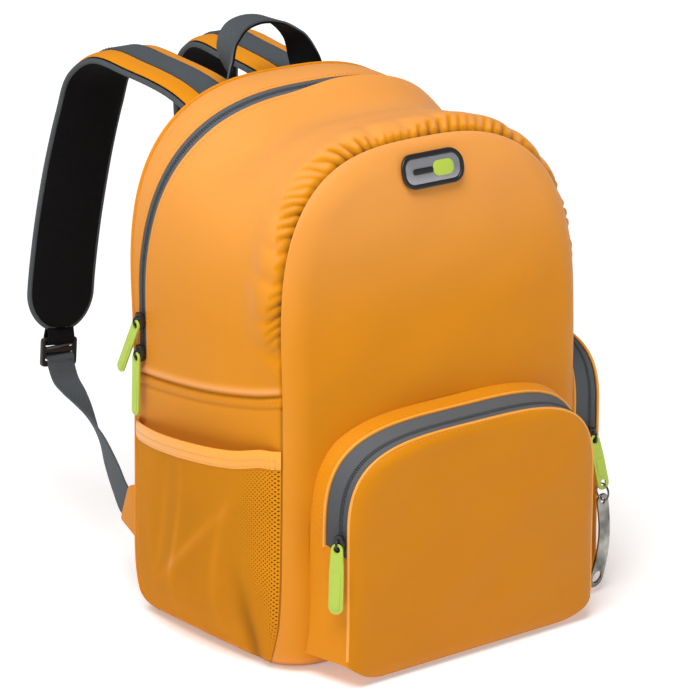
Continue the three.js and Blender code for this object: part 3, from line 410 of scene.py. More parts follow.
GRAIN_SCALE, GRAIN_RELIEF = 1400, 0.0002
PATCH_DETAIL = 4

# Finish and record slot of most pieces
NYLON = ("Orange nylon", "orange_nylon")
THREAD = ("Sewing thread", "orange_nylon")
WEBBING = ("Grey webbing", "grey_webbing")
PADDING = ("Black padding", "black_padding")
PLASTIC = ("Black plastic", "black_plastic")
STEEL = ("Polished steel", "bright_steel")


def size(name, about, millimetres):
    """Length property of a piece."""
    return FloatProperty(name=name, description=about, default=millimetres * MM, unit="LENGTH", precision=4)


def share(name, about, value):
    """Property between 0 and 1."""
    return FloatProperty(name=name, description=about, default=value, min=0, max=1, subtype="FACTOR")


def tint(name, about, red, green, blue):
    """Colour property of a finish, as linear values."""
    return FloatVectorProperty(
        name=name, description=about, default=(red, green, blue), size=3, min=0, max=1, subtype="COLOR",
    )


class BackpackSizes(bpy.types.PropertyGroup):
    """Thicknesses and sewing of the cloth."""

    wall: size("Wall", "Insulated wall of the shell", 3)
    back_wall: size("Back wall", "Padded back panel", 6)
    pocket_wall: size("Pocket cloth", "Cloth of the zipped pockets", 1.6)
    net: size("Net", "Net of the side pocket", 0.8)
    welt: size("Welt", "Radius of the rolled shell seams", 1.7)
    pleat_pitch: size("Pleat pitch", "Spacing of the fine pleats on the gathered gusset", 8.5)
    pleat_depth: size("Pleat depth", "Depth of the fine pleats", 4)
    pleat_reach: size("Pleat reach", "How far the fine pleats run from the seam", 15)
    stitch: size("Stitch", "Length of one stitch", 2.6)
    stitch_gap: size("Stitch gap", "Space between stitches", 1.2)
    thread: size("Thread", "Width of the sewing thread", 0.55)
    zip_pitch: size("Zip pitch", "Spacing of the coil of the zips", 2.0)
    pad: size("Pad", "Thickness of the shoulder pads", 9)
    binding: size("Binding", "Radius of the pad bindings", 2.2)
    webbing: size("Webbing", "Thickness of the webbing", 1.6)
    webbing_width: size("Webbing width", "Width of the strap webbing", 25)
    pad_fill: share("Pad fill", "How full the shoulder pads are", 0.75)
    wall_fill: share("Wall fill", "How full the insulated walls are", 0.6)


class BackpackColours(bpy.types.PropertyGroup):
    """Colours of the finishes."""

    nylon: tint("Nylon", "Shell cloth", 0.69, 0.243, 0.002)
    net: tint("Net", "Net of the side pocket", 0.7, 0.26, 0.008)
    tape: tint("Tape", "Binding of the net and the pockets", 0.88, 0.37, 0.035)
    thread: tint("Thread", "Sewing thread", 0.8, 0.33, 0.03)
    zip_tape: tint("Zip tape", "Woven tape of the zips", 0.085, 0.097, 0.108)
    zip_coil: tint("Zip coil", "Coil of the zips", 0.022, 0.028, 0.032)
    webbing: tint("Webbing", "Grey strap webbing", 0.062, 0.075, 0.085)
    padding: tint("Padding", "Black inner cloth of the straps", 0.004, 0.004, 0.0045)
    plastic: tint("Plastic", "Moulded buckles and sliders", 0.012, 0.012, 0.013)
    badge: tint("Badge", "Field of the badge", 0.42, 0.42, 0.45)
    lime: tint("Lime", "Rubber pulls", 0.42, 0.56, 0.06)
    steel: tint("Steel", "Ring and bottle opener", 0.24, 0.24, 0.22)
    floor: tint("Floor", "Studio floor", 0.93, 0.93, 0.93)


def mix(a, b, t):
    """Between a and b."""
    return a + (b - a) * t


def smooth(x, low, high):
    """0 below low, 1 above high and a soft step between."""
    t = np.clip((x - low) / (high - low), 0, 1)
    return t * t * (3 - 2 * t)


def unit(vectors):
    """Vectors of length 1."""
    return vectors / np.maximum(np.linalg.norm(vectors, axis=-1, keepdims=True), 1e-12)


def hump(x, width):
    """Rounded hump about 0, of height 1."""
    return np.exp(-((x / width) ** 2))


def ripple(place, wave):
    """Value that rises and falls along a seam."""
    return wave.mean + wave.swing * np.sin(place / wave.length + wave.start)


def rounded(reach, drop, power):
    """1 in the middle of a band, falling by drop towards its two edges."""
    return 1 - drop * np.abs(reach) ** power


def xyz(x, y, z):
    """Rows of points from three columns."""
    return np.stack(np.broadcast_arrays(x, y, z), axis=-1)


def by(values, vectors):
    """Each vector times its value."""
    return np.asarray(values)[..., None] * vectors


class Line:
    """Smooth line through points, read by share of its length or of its points."""

    STEPS = 40

    def __init__(self, points):
        p = np.asarray(points, float)
        p = np.vstack([2 * p[0] - p[1], p, 2 * p[-1] - p[-2]])
        spans = [self.span(*p[i:i + 4]) for i in range(len(p) - 3)]
        self.fine = np.vstack(spans + [p[-2:-1]])
        self.shares = np.linspace(0, 1, len(self.fine))
        steps = np.linalg.norm(np.diff(self.fine, axis=0), axis=1)
        self.along = np.concatenate([[0], np.cumsum(steps)])
        self.length = self.along[-1]
        self.runs = unit(np.gradient(self.fine, axis=0))

    def span(self, a, b, c, d):
        """Centripetal curve from b to c."""
        gaps = [max(np.linalg.norm(q - p) ** 0.5, 1e-6) for p, q in ((a, b), (b, c), (c, d))]
        out = ((b - a) / gaps[0] - (c - a) / (gaps[0] + gaps[1])) * gaps[1] + (c - b)
        into = ((d - c) / gaps[2] - (d - b) / (gaps[1] + gaps[2])) * gaps[1] + (c - b)
        t = (np.arange(self.STEPS) / self.STEPS)[:, None]
        ends = (1 + 2 * t) * (1 - t) ** 2 * b + (3 - 2 * t) * t**2 * c
        return ends + t * (1 - t) ** 2 * out - t**2 * (1 - t) * into

    def at(self, share, by_row=False):
        """Points of the line."""
        return self.read(self.fine, share, by_row)

    def run(self, share, by_row=False):
        """Directions of the line."""
        return unit(self.read(self.runs, share, by_row))

    def share_at(self, z):
        """Share of the length at which the rising half of the line reaches a height."""
        rising = len(self.fine) // 2
        return np.interp(z, self.fine[:rising, 2], self.along[:rising]) / self.length

    def read(self, values, share, by_row):
        """Values kept at the fine points, at shares of the line."""
        knots = self.shares if by_row else self.along / self.length
        return np.stack([np.interp(share, knots, column) for column in values.T], axis=-1)


# Shape of the shell


def lean_at(arch, z):
    """Sideways lean of the upper part of an arch."""
    return arch.lean * smooth(z, ARCH_LEAN_FROM * arch.spring, arch.top)


def arch_line(arch, half, depth, low):
    """Arched outline from foot to foot."""
    upright = mix(low, arch.spring, (np.arange(ARCH_UPRIGHTS) / ARCH_UPRIGHTS) ** ARCH_EASE)
    angle = np.pi * (1 - np.arange(ARCH_TURNS + 1) / ARCH_TURNS)
    across = np.sign(np.cos(angle)) * np.abs(np.cos(angle)) ** (2 / arch.power)
    turn = arch.spring + (arch.top - arch.spring) * np.abs(np.sin(angle)) ** (2 / arch.power)
    z = np.concatenate([upright, turn, upright[::-1]])
    x = np.concatenate([-half(upright), half(arch.spring) * across, half(upright[::-1])])
    return Line(xyz(x + lean_at(arch, z), depth(z), z))


def arch_height(spread, arch):
    """Height of an arch at a share of its half width."""
    rise = np.maximum(0, 1 - np.abs(spread) ** arch.power) ** (1 / arch.power)
    return mix(arch.spring, arch.top, rise)


def panel_rise(x, z, arch, half, roll):
    """Share of its full stand that a stuffed panel reaches beside its edge, and its middle's swell."""
    up = np.maximum(0, z - arch.spring) / (arch.top - arch.spring)
    edge = np.minimum(1, (np.abs(x / half) ** arch.power + up**arch.power) ** (1 / arch.power))
    inset = np.minimum(1, (1 - edge) * half / roll)
    swell = np.maximum(0, 1 - (x / half) ** 2) * np.sin(np.pi * np.clip(z / arch.top, 0, 1))
    steep, full = PANEL_ROLL
    return (1 - (1 - inset) ** steep) ** full, swell * inset


def base_tuck(z):
    """How far the soft shell draws in above its base."""
    return BASE_TUCK * (1 - np.clip(z / BASE_TUCK_TO, 0, 1)) ** 2


class ShellPanel:
    """Arched front or back panel."""

    def __init__(self, rows, arch, bulge, side):
        self.rows = rows
        self.arch = arch
        self.bulge = bulge
        self.side = side
        self.seam = arch_line(arch, self.half, self.depth, 0)

    def half(self, z):
        """Half width of the seam."""
        return self.rows.read("half", z) - base_tuck(z)

    def depth(self, z):
        """Depth of the seam."""
        return self.rows.read("y", z) - self.side * base_tuck(z)

    def face(self, x, z):
        """Depth of the panel's outside."""
        rise, swell = panel_rise(x, z, self.arch, self.half(z), self.rows.read("roll", z))
        middle = self.rows.read("face", z) - self.side * base_tuck(z)
        return mix(self.depth(z), middle, rise) + self.side * self.bulge * swell

    def place(self, u, v):
        """Point of the panel in upright columns."""
        spread = -self.side * np.sin((u - 0.5) * np.pi)
        z = mix(PANEL_LOW, arch_height(spread, self.arch), np.sin(v * np.pi / 2))
        x = spread * self.half(np.minimum(z, self.arch.spring))
        return xyz(x + lean_at(self.arch, z), self.face(x, z), z)


FRONT = ShellPanel(FRONT_SEAM, FRONT_ARCH, FRONT_BULGE, FRONT_SIDE)
BACK = ShellPanel(BACK_SEAM, BACK_ARCH, BACK_BULGE, BACK_SIDE)
FRONT_START = FRONT.seam.share_at(SIDE_TOP)
BACK_START = BACK.seam.share_at(SIDE_TOP)


def side_puff(across, z):
    """Swell of the sides and top between the two seams."""
    return SIDE_PUFF * (4 * across * (1 - across)) ** SIDE_PUFF_POWER * smooth(z, *SIDE_PUFF_RISE)


def gusset(front_share, back_share, across):
    """Point and outward direction of the sides and top, from the front seam (0) to the back seam (1)."""
    across = np.clip(across, 0, 1)
    point = mix(FRONT.seam.at(front_share), BACK.seam.at(back_share), across[:, None])
    run = mix(FRONT.seam.run(front_share), BACK.seam.run(back_share), across[:, None])
    out = unit(xyz(-run[:, 2], 0, run[:, 0]))
    dip = SAG_DEPTH * hump(across - SAG_ACROSS, SAG_WIDTH)
    lift = side_puff(across, point[:, 2]) - dip * smooth(point[:, 2], SAG_FROM, SAG_TO)
    return point + by(lift + side_seam(point)[0], out), out


def upper_gusset(along, across):
    """Point and outward direction of the gusset above the side panels."""
    return gusset(mix(FRONT_START, 1 - FRONT_START, along), mix(BACK_START, 1 - BACK_START, along), across)


def gusset_depth(along):
    """Width of the upper gusset from seam to seam."""
    ends = [upper_gusset(along, np.full_like(along, edge))[0] for edge in (0.0, 1.0)]
    return np.linalg.norm(ends[1] - ends[0], axis=1)


def zip_across(along, offset):
    """Line of the main zip, or a line beside it."""
    return ZIP_TRACK.read("share", along) + offset / gusset_depth(along)


def zip_front(along):
    """Front edge of the main zip's tape."""
    return zip_across(along, -ZIP_HALF)


def zip_rear(along):
    """Rear edge of the main zip's tape."""
    return zip_across(along, ZIP_HALF)


GATHERED = FRONT.seam.length * (1 - 2 * FRONT_START)


def gathers(along, back, sizes):
    """Relief and painted crease shade of the gathered cloth behind the front seam: valley, roll and pleats.
    """
    valley = hump(back, SEAM_VALLEY_WIDTH)
    relief = -SEAM_VALLEY * valley
    for at, reach, depth, spread, lean in PUCKERS.rows:
        offset = (along - at) * GATHERED - lean * back / reach
        relief -= depth * np.maximum(0, 1 - back / reach) ** PUCKER_TAPER * hump(offset, spread)
    inside = smooth(np.minimum(along, 1 - along), *PUCKER_ROLL_FADE)
    relief += PUCKER_ROLL_HEIGHT * inside * hump(back - PUCKER_ROLL_AT, PUCKER_ROLL_AT)
    place = along * GATHERED + mix(*PLEAT_SLANT, smooth(along, *PLEAT_SLANT_TURN)) * back
    wander = sum(ripple(place, wave) for wave in PLEAT_WANDER)
    crease = (1 - np.abs(np.sin(np.pi * place / sizes.pleat_pitch + wander))) ** PLEAT_SHARPNESS
    reach = sizes.pleat_reach * ripple(place, PLEAT_LENGTHS)
    crease *= inside * ripple(place, PLEAT_STRENGTH) * np.maximum(0, 1 - back / reach) ** PLEAT_TAPER
    return relief - sizes.pleat_depth * crease, PLEAT_SHADE * crease + VALLEY_SHADE * valley


def side_seam(points):
    """Relief of the seam across each side, and its painted shade in the grooves and painted highlight on
    the ridge.
    """
    above = points[:, 2] - SIDE_SEAM.read("z", points[:, 1])
    ridge = hump(above - SEAM_RIDGE_AT, SEAM_RIDGE_WIDTH)
    lower = LOWER_GROOVE * hump(above - LOWER_GROOVE_AT, LOWER_GROOVE_WIDTH)
    groove = hump(above, SEAM_GROOVE_WIDTH) + lower
    return SEAM_RIDGE * ridge - SEAM_GROOVE * groove, GROOVE_SHADE * groove - RIDGE_SHINE * ridge


def top_highlight(points):
    """Painted highlight towards the top: how much paler the colour is made there."""
    return TOP_HIGHLIGHT * smooth(points[:, 2], *TOP_HIGHLIGHT_SPAN)


def side_out(y, z):
    """Distance of the lower side from the middle plane."""
    across = np.clip((y - FRONT.depth(z)) / (BACK.depth(z) - FRONT.depth(z)), 0, 1)
    return mix(FRONT.half(z), BACK.half(z), across) + side_puff(across, z)


def drape(points, form):
    """Slow swell and fall that keeps a cloth from lying dead flat: a broad wave and a finer one."""
    x, y, z = points.T / form.length
    seed = form.seed
    broad = np.sin(1.3 * x + 2.1 * z + seed) * np.sin(1.7 * y - 0.9 * z + 2 * seed)
    fine = np.sin(2.9 * x - 1.9 * z + 3 * seed + 1.4 * broad) * np.sin(2.3 * z + 1.1 * y + seed)
    return form.height * (0.6 * broad + 0.4 * fine)


# Mesh making

UV_STEPS, NORMAL_STEP, WELD = 60, 1e-3, 1e-6
CORNER_SEGMENTS, RIM_SEGMENTS, TUBE_AROUND = 8, 3, 10
WIRE_AROUND, HOOP_STEPS = 10, 36
SHARP_ANGLE = math.radians(50)


def cells(u_cells, v_cells):
    """Grid of cells whose vertices remember their place (u, v) between 0 and 1."""
    bm = bmesh.new()
    marks = bm.verts.layers.float_vector.new("cloth")
    bmesh.ops.create_grid(bm, x_segments=u_cells, y_segments=v_cells, size=0.5)
    for vert in bm.verts:
        vert[marks] = (vert.co.x + 0.5, vert.co.y + 0.5, 1)
    return bm, marks


def lay_out(bm, marks, place):
    """Moves every vertex of a grid to place(u, v, w) and gives the cloth its UV map in metres."""
    uvw = np.array([vert[marks] for vert in bm.verts])
    points = place(*uvw.T)
    for vert, point in zip(bm.verts, points):
        vert.co = point
    steps = np.linspace(0, 1, UV_STEPS)
    middle = np.full_like(steps, 0.5)
    width = Line(place(steps, middle, middle * 2)).length
    height = Line(place(middle, steps, middle * 2)).length
    uv = bm.loops.layers.uv.new("UVMap")
    for face in bm.faces:
        for loop in face.loops:
            u, v, _ = loop.vert[marks]
            loop[uv].uv = (u * width, v * height)


def slab(u_cells, v_cells, place):
    """Closed sheet between place(u, v, 0) and its outside, place(u, v, 1)."""
    bm, marks = cells(u_cells, v_cells)
    inner = bmesh.ops.extrude_face_region(bm, geom=bm.faces[:], use_keep_orig=True)
    for vert in inner["geom"]:
        if isinstance(vert, bmesh.types.BMVert):
            u, v, _ = vert[marks]
            vert[marks] = (u, v, 0)
    lay_out(bm, marks, place)
    bmesh.ops.recalc_face_normals(bm, faces=bm.faces[:])
    return bm


def normals(surface, u, v):
    """Outward directions of a surface given by (u, v)."""
    u_low, u_high = np.maximum(u - NORMAL_STEP, 0), np.minimum(u + NORMAL_STEP, 1)
    v_low, v_high = np.maximum(v - NORMAL_STEP, 0), np.minimum(v + NORMAL_STEP, 1)
    along_u = surface(u_high, v) - surface(u_low, v)
    along_v = surface(u, v_high) - surface(u, v_low)
    return unit(np.cross(along_u, along_v))


def towards(centre, out, reach):
    """Directions from the skin of a stuffed panel to its inside: against out and towards its centre."""
    def into(points):
        level = np.subtract(centre, points)
        level -= by(level @ out, out)
        return level / reach - out
    return into


def cloth(u_cells, v_cells, surface, thick, painted_light=None, into=None):
    """Closed sheet of cloth with its outside at surface(u, v), and painted_light(u, v) as the painted shade
    and highlight kept in its crease attribute.
    """
    def place(u, v, w):
        points = surface(u, v)
        inward = -normals(surface, u, v) if into is None else into(points)
        return points + by(thick * (1 - w), inward)
    bm = slab(u_cells, v_cells, place)
    if painted_light is not None:
        # The crease attribute holds painted light: painted shade above 0, painted highlight below 0
        shade = bm.verts.layers.float.new("crease")
        marks = bm.verts.layers.float_vector["cloth"]
        u, v, _ = np.array([vert[marks] for vert in bm.verts]).T
        for vert, value in zip(bm.verts, painted_light(u, v)):
            vert[shade] = value
    return bm


def tube(line, frames, radius, u_cells, around=TUBE_AROUND):
    """Round cord along a line; frames(share) gives the two directions of its section."""
    def place(u, v, _):
        first, second = frames(u)
        angle = v * 2 * np.pi
        return line(u) + by(radius * np.cos(angle), first) + by(radius * np.sin(angle), second)
    bm, marks = cells(u_cells, around)
    lay_out(bm, marks, place)
    bmesh.ops.remove_doubles(bm, verts=bm.verts[:], dist=WELD)
    bmesh.ops.holes_fill(bm, edges=bm.edges[:], sides=0)
    bmesh.ops.recalc_face_normals(bm, faces=bm.faces[:])
    return bm


def beads(bm, points, runs, outs, half_sizes):
    """Slim beads at points, each lying along its run: stitches and zip coils."""
    for point, run, out in zip(points, runs, outs):
        axes = np.stack([run, np.cross(out, run), out], axis=1) * half_sizes
        matrix = Matrix.Translation(point) @ Matrix(axes).to_4x4()
        bmesh.ops.create_icosphere(bm, subdivisions=1, radius=1, matrix=matrix)


def sew(bm, surface, span, level, sizes):
    """Row of stitches on a surface at one level of v; span gives the start, end and steps of u."""
    u = np.linspace(*span)
    points = surface(u, np.full_like(u, level))
    along = np.concatenate([[0], np.cumsum(np.linalg.norm(np.diff(points, axis=0), axis=1))])
    count = max(1, int(along[-1] / (sizes.stitch + sizes.stitch_gap)))
    at = (np.arange(count) + 0.5) / count * along[-1]
    u = np.interp(at, along, u)
    v = np.full_like(u, level)
    outs = normals(surface, u, v)
    runs = unit(np.stack([np.interp(at, along, c) for c in np.gradient(points, axis=0).T], axis=-1))
    outs = unit(outs - by((outs * runs).sum(1), runs))
    half = np.array([sizes.stitch, sizes.thread, sizes.thread]) / 2
    beads(bm, surface(u, v) + outs * half[2] / 2, runs, outs, half)


def wire(bm, corners):
    """Face through (x, y, radius) corners, each rounded to its radius."""
    verts = [bm.verts.new((x, y, 0)) for x, y, _ in corners]
    bm.faces.new(verts)
    for vert, (_, _, radius) in zip(verts, corners):
        if radius:
            bmesh.ops.bevel(
                bm, geom=[vert], offset=radius, affect="VERTICES", segments=CORNER_SEGMENTS, profile=0.5,
                material=-1,
            )


def plate(outline, holes, thick, soften):
    """Flat plate with an outline and holes of rounded corners, its edges softened."""
    bm = bmesh.new()
    for corners in [outline, *holes]:
        wire(bm, corners)
    bmesh.ops.delete(bm, geom=bm.faces[:], context="FACES_ONLY")
    bmesh.ops.triangle_fill(bm, edges=bm.edges[:], use_beauty=True, use_dissolve=False)
    sides = bmesh.ops.extrude_face_region(bm, geom=bm.faces[:], use_keep_orig=True)["geom"]
    lifted = [item for item in sides if isinstance(item, bmesh.types.BMVert)]
    bmesh.ops.translate(bm, verts=lifted, vec=(0, 0, thick))
    soften_rims(bm, soften)
    uv = bm.loops.layers.uv.new("UVMap")
    for face in bm.faces:
        for loop in face.loops:
            loop[uv].uv = loop.vert.co.xy
    return bm


def soften_rims(bm, soften):
    """Rounds every sharp edge."""
    bmesh.ops.recalc_face_normals(bm, faces=bm.faces[:])
    rims = [edge for edge in bm.edges if len(edge.link_faces) == 2 and edge.calc_face_angle() > 1]
    bmesh.ops.bevel(
        bm, geom=rims, offset=soften, affect="EDGES", segments=RIM_SEGMENTS, profile=0.5, material=-1,
    )


def box_corners(half_x, half_y, radius):
    """Corners of a rounded rectangle about the origin."""
    return [(sx * half_x, sy * half_y, radius) for sx, sy in ((-1, -1), (1, -1), (1, 1), (-1, 1))]


def hoop(radius, wire_radius):
    """Ring of round wire about the X axis."""
    bm = bmesh.new()
    start = Matrix.Translation((0, radius, 0))
    bmesh.ops.create_circle(bm, segments=WIRE_AROUND, radius=wire_radius, matrix=start)
    bmesh.ops.spin(
        bm, geom=bm.verts[:] + bm.edges[:], cent=(0, 0, 0), axis=(1, 0, 0), angle=2 * math.pi,
        steps=HOOP_STEPS, use_merge=True,
    )
    bmesh.ops.recalc_face_normals(bm, faces=bm.faces[:])
    return bm


def piece(name, bm, finish, slot, nodes=(), body="bag"):
    """Finished object: its place in its mesh, smooth, riding on a body and standing for CAD nodes."""
    mesh = bpy.data.meshes.new(name)
    bm.to_mesh(mesh)
    bm.free()
    mesh.shade_smooth()
    mesh.set_sharp_from_angle(angle=SHARP_ANGLE)
    mesh.materials.append(bpy.data.materials[finish])
    made = bpy.data.objects.new(name, mesh)
    bpy.context.scene.collection.objects.link(made)
    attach(made, body)
    if nodes:
        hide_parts(*nodes)
    return made


# Finishes


def group_tree(name, inputs, outputs):
    """Empty shader node group with named sockets."""
    tree = bpy.data.node_groups.new(name, "ShaderNodeTree")
    for label, kind, value in inputs:
        socket = tree.interface.new_socket(name=label, in_out="INPUT", socket_type=kind)
        if value is not None:
            socket.default_value = value
    for label, kind in outputs:
        tree.interface.new_socket(name=label, in_out="OUTPUT", socket_type=kind)
    return tree, tree.nodes.new("NodeGroupInput"), tree.nodes.new("NodeGroupOutput")


def math_node(tree, operation, a, b=None):
    """Math node fed by sockets or numbers."""
    node = tree.nodes.new("ShaderNodeMath")
    node.operation = operation
    for socket, value in zip(node.inputs, (a, b)):
        if isinstance(value, bpy.types.NodeSocket):
            tree.links.new(value, socket)
        elif value is not None:
            socket.default_value = value
    return node.outputs[0]


def wave(tree, coordinate, pitch):
    """Sine of a coordinate with one turn to each pitch, between -1 and 1."""
    turns = math_node(tree, "DIVIDE", coordinate, pitch)
    return math_node(tree, "SINE", math_node(tree, "MULTIPLY", turns, 2 * math.pi))


def weave_group():
    """Plain weave on a UV map in metres: the height of the crossing threads."""
    tree, given, result = group_tree(
        "Plain weave",
        [("Vector", "NodeSocketVector", None), ("Across", "NodeSocketFloat", 0.001),
         ("Along", "NodeSocketFloat", 0.001)],
        [("Height", "NodeSocketFloat")],
    )
    parts = tree.nodes.new("ShaderNodeSeparateXYZ")
    tree.links.new(given.outputs["Vector"], parts.inputs[0])
    first = wave(tree, parts.outputs[0], given.outputs["Along"])
    second = wave(tree, parts.outputs[1], given.outputs["Across"])
    height = math_node(tree, "MULTIPLY_ADD", math_node(tree, "MULTIPLY", first, second), 0.5)
    height.node.inputs[2].default_value = 0.5
    tree.links.new(height, result.inputs[0])


def net_group():
    """Open net on a UV map in metres: 1 on its threads and 0 in its holes."""
    tree, given, result = group_tree(
        "Net",
        [("Vector", "NodeSocketVector", None), ("Pitch", "NodeSocketFloat", 0.003),
         ("Thread", "NodeSocketFloat", 0.5)],
        [("Threads", "NodeSocketFloat")],
    )
    parts = tree.nodes.new("ShaderNodeSeparateXYZ")
    tree.links.new(given.outputs["Vector"], parts.inputs[0])
    lines = []
    for operation in ("ADD", "SUBTRACT"):
        slant = math_node(tree, operation, parts.outputs[0], parts.outputs[1])
        lines.append(wave(tree, slant, given.outputs["Pitch"]))
    ridge = math_node(tree, "MAXIMUM", lines[0], lines[1])
    over = math_node(tree, "GREATER_THAN", ridge, given.outputs["Thread"])
    tree.links.new(over, result.inputs[0])


def shade_group():
    """Patchy dye with painted light: a base colour in patches, with painted shade where the Painted light
    input is above 0 and a paler, less saturated painted highlight where it is below 0.
    """
    tree, given, result = group_tree(
        "Uneven dye",
        [("Colour", "NodeSocketColor", None), ("Size", "NodeSocketFloat", 14.0),
         ("Amount", "NodeSocketFloat", 0.1), ("Crease", "NodeSocketFloat", 0.0)],
        [("Colour", "NodeSocketColor"), ("Patch", "NodeSocketFloat")],
    )
    place = tree.nodes.new("ShaderNodeTexCoord")
    noise = tree.nodes.new("ShaderNodeTexNoise")
    noise.inputs["Detail"].default_value = PATCH_DETAIL
    tree.links.new(place.outputs["Object"], noise.inputs["Vector"])
    tree.links.new(given.outputs["Size"], noise.inputs["Scale"])
    swing = math_node(tree, "MULTIPLY", math_node(tree, "SUBTRACT", noise.outputs[0], 0.5), 2)
    scaled = math_node(tree, "MULTIPLY", swing, given.outputs["Amount"])
    bright = tree.nodes.new("ShaderNodeHueSaturation")
    tree.links.new(given.outputs["Colour"], bright.inputs["Color"])
    # Painted light: shade above 0 darkens the colour, highlight below 0 brightens it and takes out some
    # saturation
    even = math_node(tree, "SUBTRACT", 1, given.outputs["Crease"])
    paled = math_node(tree, "ADD", math_node(tree, "MULTIPLY", given.outputs["Crease"], HIGHLIGHT_PALING), 1)
    tree.links.new(math_node(tree, "MINIMUM", paled, 1), bright.inputs["Saturation"])
    tree.links.new(math_node(tree, "ADD", scaled, even), bright.inputs["Value"])
    tree.links.new(bright.outputs[0], result.inputs[0])
    tree.links.new(noise.outputs[0], result.inputs[1])


def use_group(tree, name, links=(), **values):
    """Group node with its inputs linked or set."""
    node = tree.nodes.new("ShaderNodeGroup")
    node.node_tree = bpy.data.node_groups[name]
    for label, source in links:
        tree.links.new(source, node.inputs[label])
    for label, value in values.items():
        node.inputs[label].default_value = value
    return node


def new_finish(row):
    """Empty material of a row, with its node tree and its surface."""
    made = bpy.data.materials.new(row.name)
    made.use_nodes = True
    return made.node_tree, made.node_tree.nodes["Principled BSDF"]


def add_relief(tree, surface, height, strength, distance):
    """Bump of a height over a surface."""
    relief = tree.nodes.new("ShaderNodeBump")
    relief.inputs["Strength"].default_value = strength
    relief.inputs["Distance"].default_value = distance
    tree.links.new(height, relief.inputs["Height"])
    tree.links.new(relief.outputs[0], surface.inputs["Normal"])


def add_roughness(tree, surface, patch, spread, rough):
    """Roughness that follows the patches of the dye."""
    uneven = math_node(tree, "MULTIPLY", patch, spread)
    low = max(rough - spread / 2, 0.0)
    tree.links.new(math_node(tree, "ADD", uneven, low), surface.inputs["Roughness"])


def woven_finish(row, colour):
    """Woven cloth: patchy dye with the painted shade and highlight of the crease attribute, a plain weave
    in relief and a roughness that follows the dye.
    """
    tree, surface = new_finish(row)
    # Painted shade and highlight read from the crease attribute
    painted_light_attribute = tree.nodes.new("ShaderNodeAttribute")
    painted_light_attribute.attribute_name = "crease"
    links = [("Crease", painted_light_attribute.outputs["Fac"])]
    dye = use_group(tree, "Uneven dye", links, Colour=(*colour, 1), Amount=row.patch)
    tree.links.new(dye.outputs["Colour"], surface.inputs["Base Color"])
    uv = tree.nodes.new("ShaderNodeUVMap")
    uv.uv_map = "UVMap"
    links = [("Vector", uv.outputs[0])]
    threads = use_group(tree, "Plain weave", links, Across=row.across, Along=row.along)
    fine = min(row.across, row.along) * WEAVE_RELIEF
    add_relief(tree, surface, threads.outputs["Height"], row.bump, fine)
    add_roughness(tree, surface, dye.outputs["Patch"], WOVEN_ROUGH_SPREAD, row.rough)
    surface.inputs["Sheen Weight"].default_value = row.sheen
    surface.inputs["Sheen Roughness"].default_value = SHEEN_ROUGH
    surface.inputs["Specular IOR Level"].default_value = row.specular


def moulded_finish(row, colour):
    """Moulded plastic, rubber or polished metal with a fine grain."""
    tree, surface = new_finish(row)
    surface.inputs["Metallic"].default_value = row.metal
    dye = use_group(tree, "Uneven dye", Colour=(*colour, 1), Size=MOULDED_PATCHES, Amount=row.patch)
    tree.links.new(dye.outputs["Colour"], surface.inputs["Base Color"])
    place = tree.nodes.new("ShaderNodeTexCoord")
    noise = tree.nodes.new("ShaderNodeTexNoise")
    noise.inputs["Scale"].default_value = GRAIN_SCALE
    tree.links.new(place.outputs["Object"], noise.inputs["Vector"])
    add_relief(tree, surface, noise.outputs[0], row.grain, GRAIN_RELIEF)
    add_roughness(tree, surface, dye.outputs["Patch"], MOULDED_ROUGH_SPREAD, row.rough)


def open_net(name):
    """Holes of the see-through net of the side pocket."""
    tree = bpy.data.materials[name].node_tree
    uv = next(node for node in tree.nodes if node.type == "UVMAP")
    net = use_group(tree, "Net", [("Vector", uv.outputs[0])], Pitch=NET_PITCH, Thread=NET_THREAD)
    tree.links.new(net.outputs["Threads"], tree.nodes["Principled BSDF"].inputs["Alpha"])


class BACKPACK_OT_finishes(bpy.types.Operator):
    """Make the shader groups and the materials of every piece"""

    bl_idname = "backpack.finishes"
    bl_label = "Finishes"

    def execute(self, context):
        colours = context.scene.backpack_colours
        weave_group()
        net_group()
        shade_group()
        for row in WOVEN:
            woven_finish(row, getattr(colours, row.colour))
        for row in MOULDED:
            moulded_finish(row, getattr(colours, row.colour))
        open_net("Pocket net")
        return {"FINISHED"}


# Shell pieces


def side_surface(side):
    """Lower side panel from the base to the seam under the upper gusset."""
    def surface(u, v):
        climb = mix(SIDE_LOW, 1.0, u if side == LEFT else 1 - u)
        low = [start * climb for start in (FRONT_START, BACK_START)]
        shares = low if side == LEFT else [1 - part for part in low]
        return gusset(*shares, v)[0]
    return surface


def strip_surface(low, high, relief=None, ease=1):
    """Strip of the upper gusset between two lines, low(along) and high(along), across it."""
    def surface(u, v):
        across = mix(low(u), high(u), v**ease)
        point, out = upper_gusset(u, across)
        if relief is None:
            return point
        return point + by(relief(u, across * gusset_depth(u)), out)
    return surface


def draped(panel, form):
    """Outside of a shell panel with a slow drape inside its edge."""
    def surface(u, v):
        points = panel.place(u, v)
        inside = smooth(np.minimum(np.minimum(u, 1 - u), 1 - v), 0, DRAPE_EDGE)
        points[:, 1] += drape(points, form) * inside
        return points
    return surface


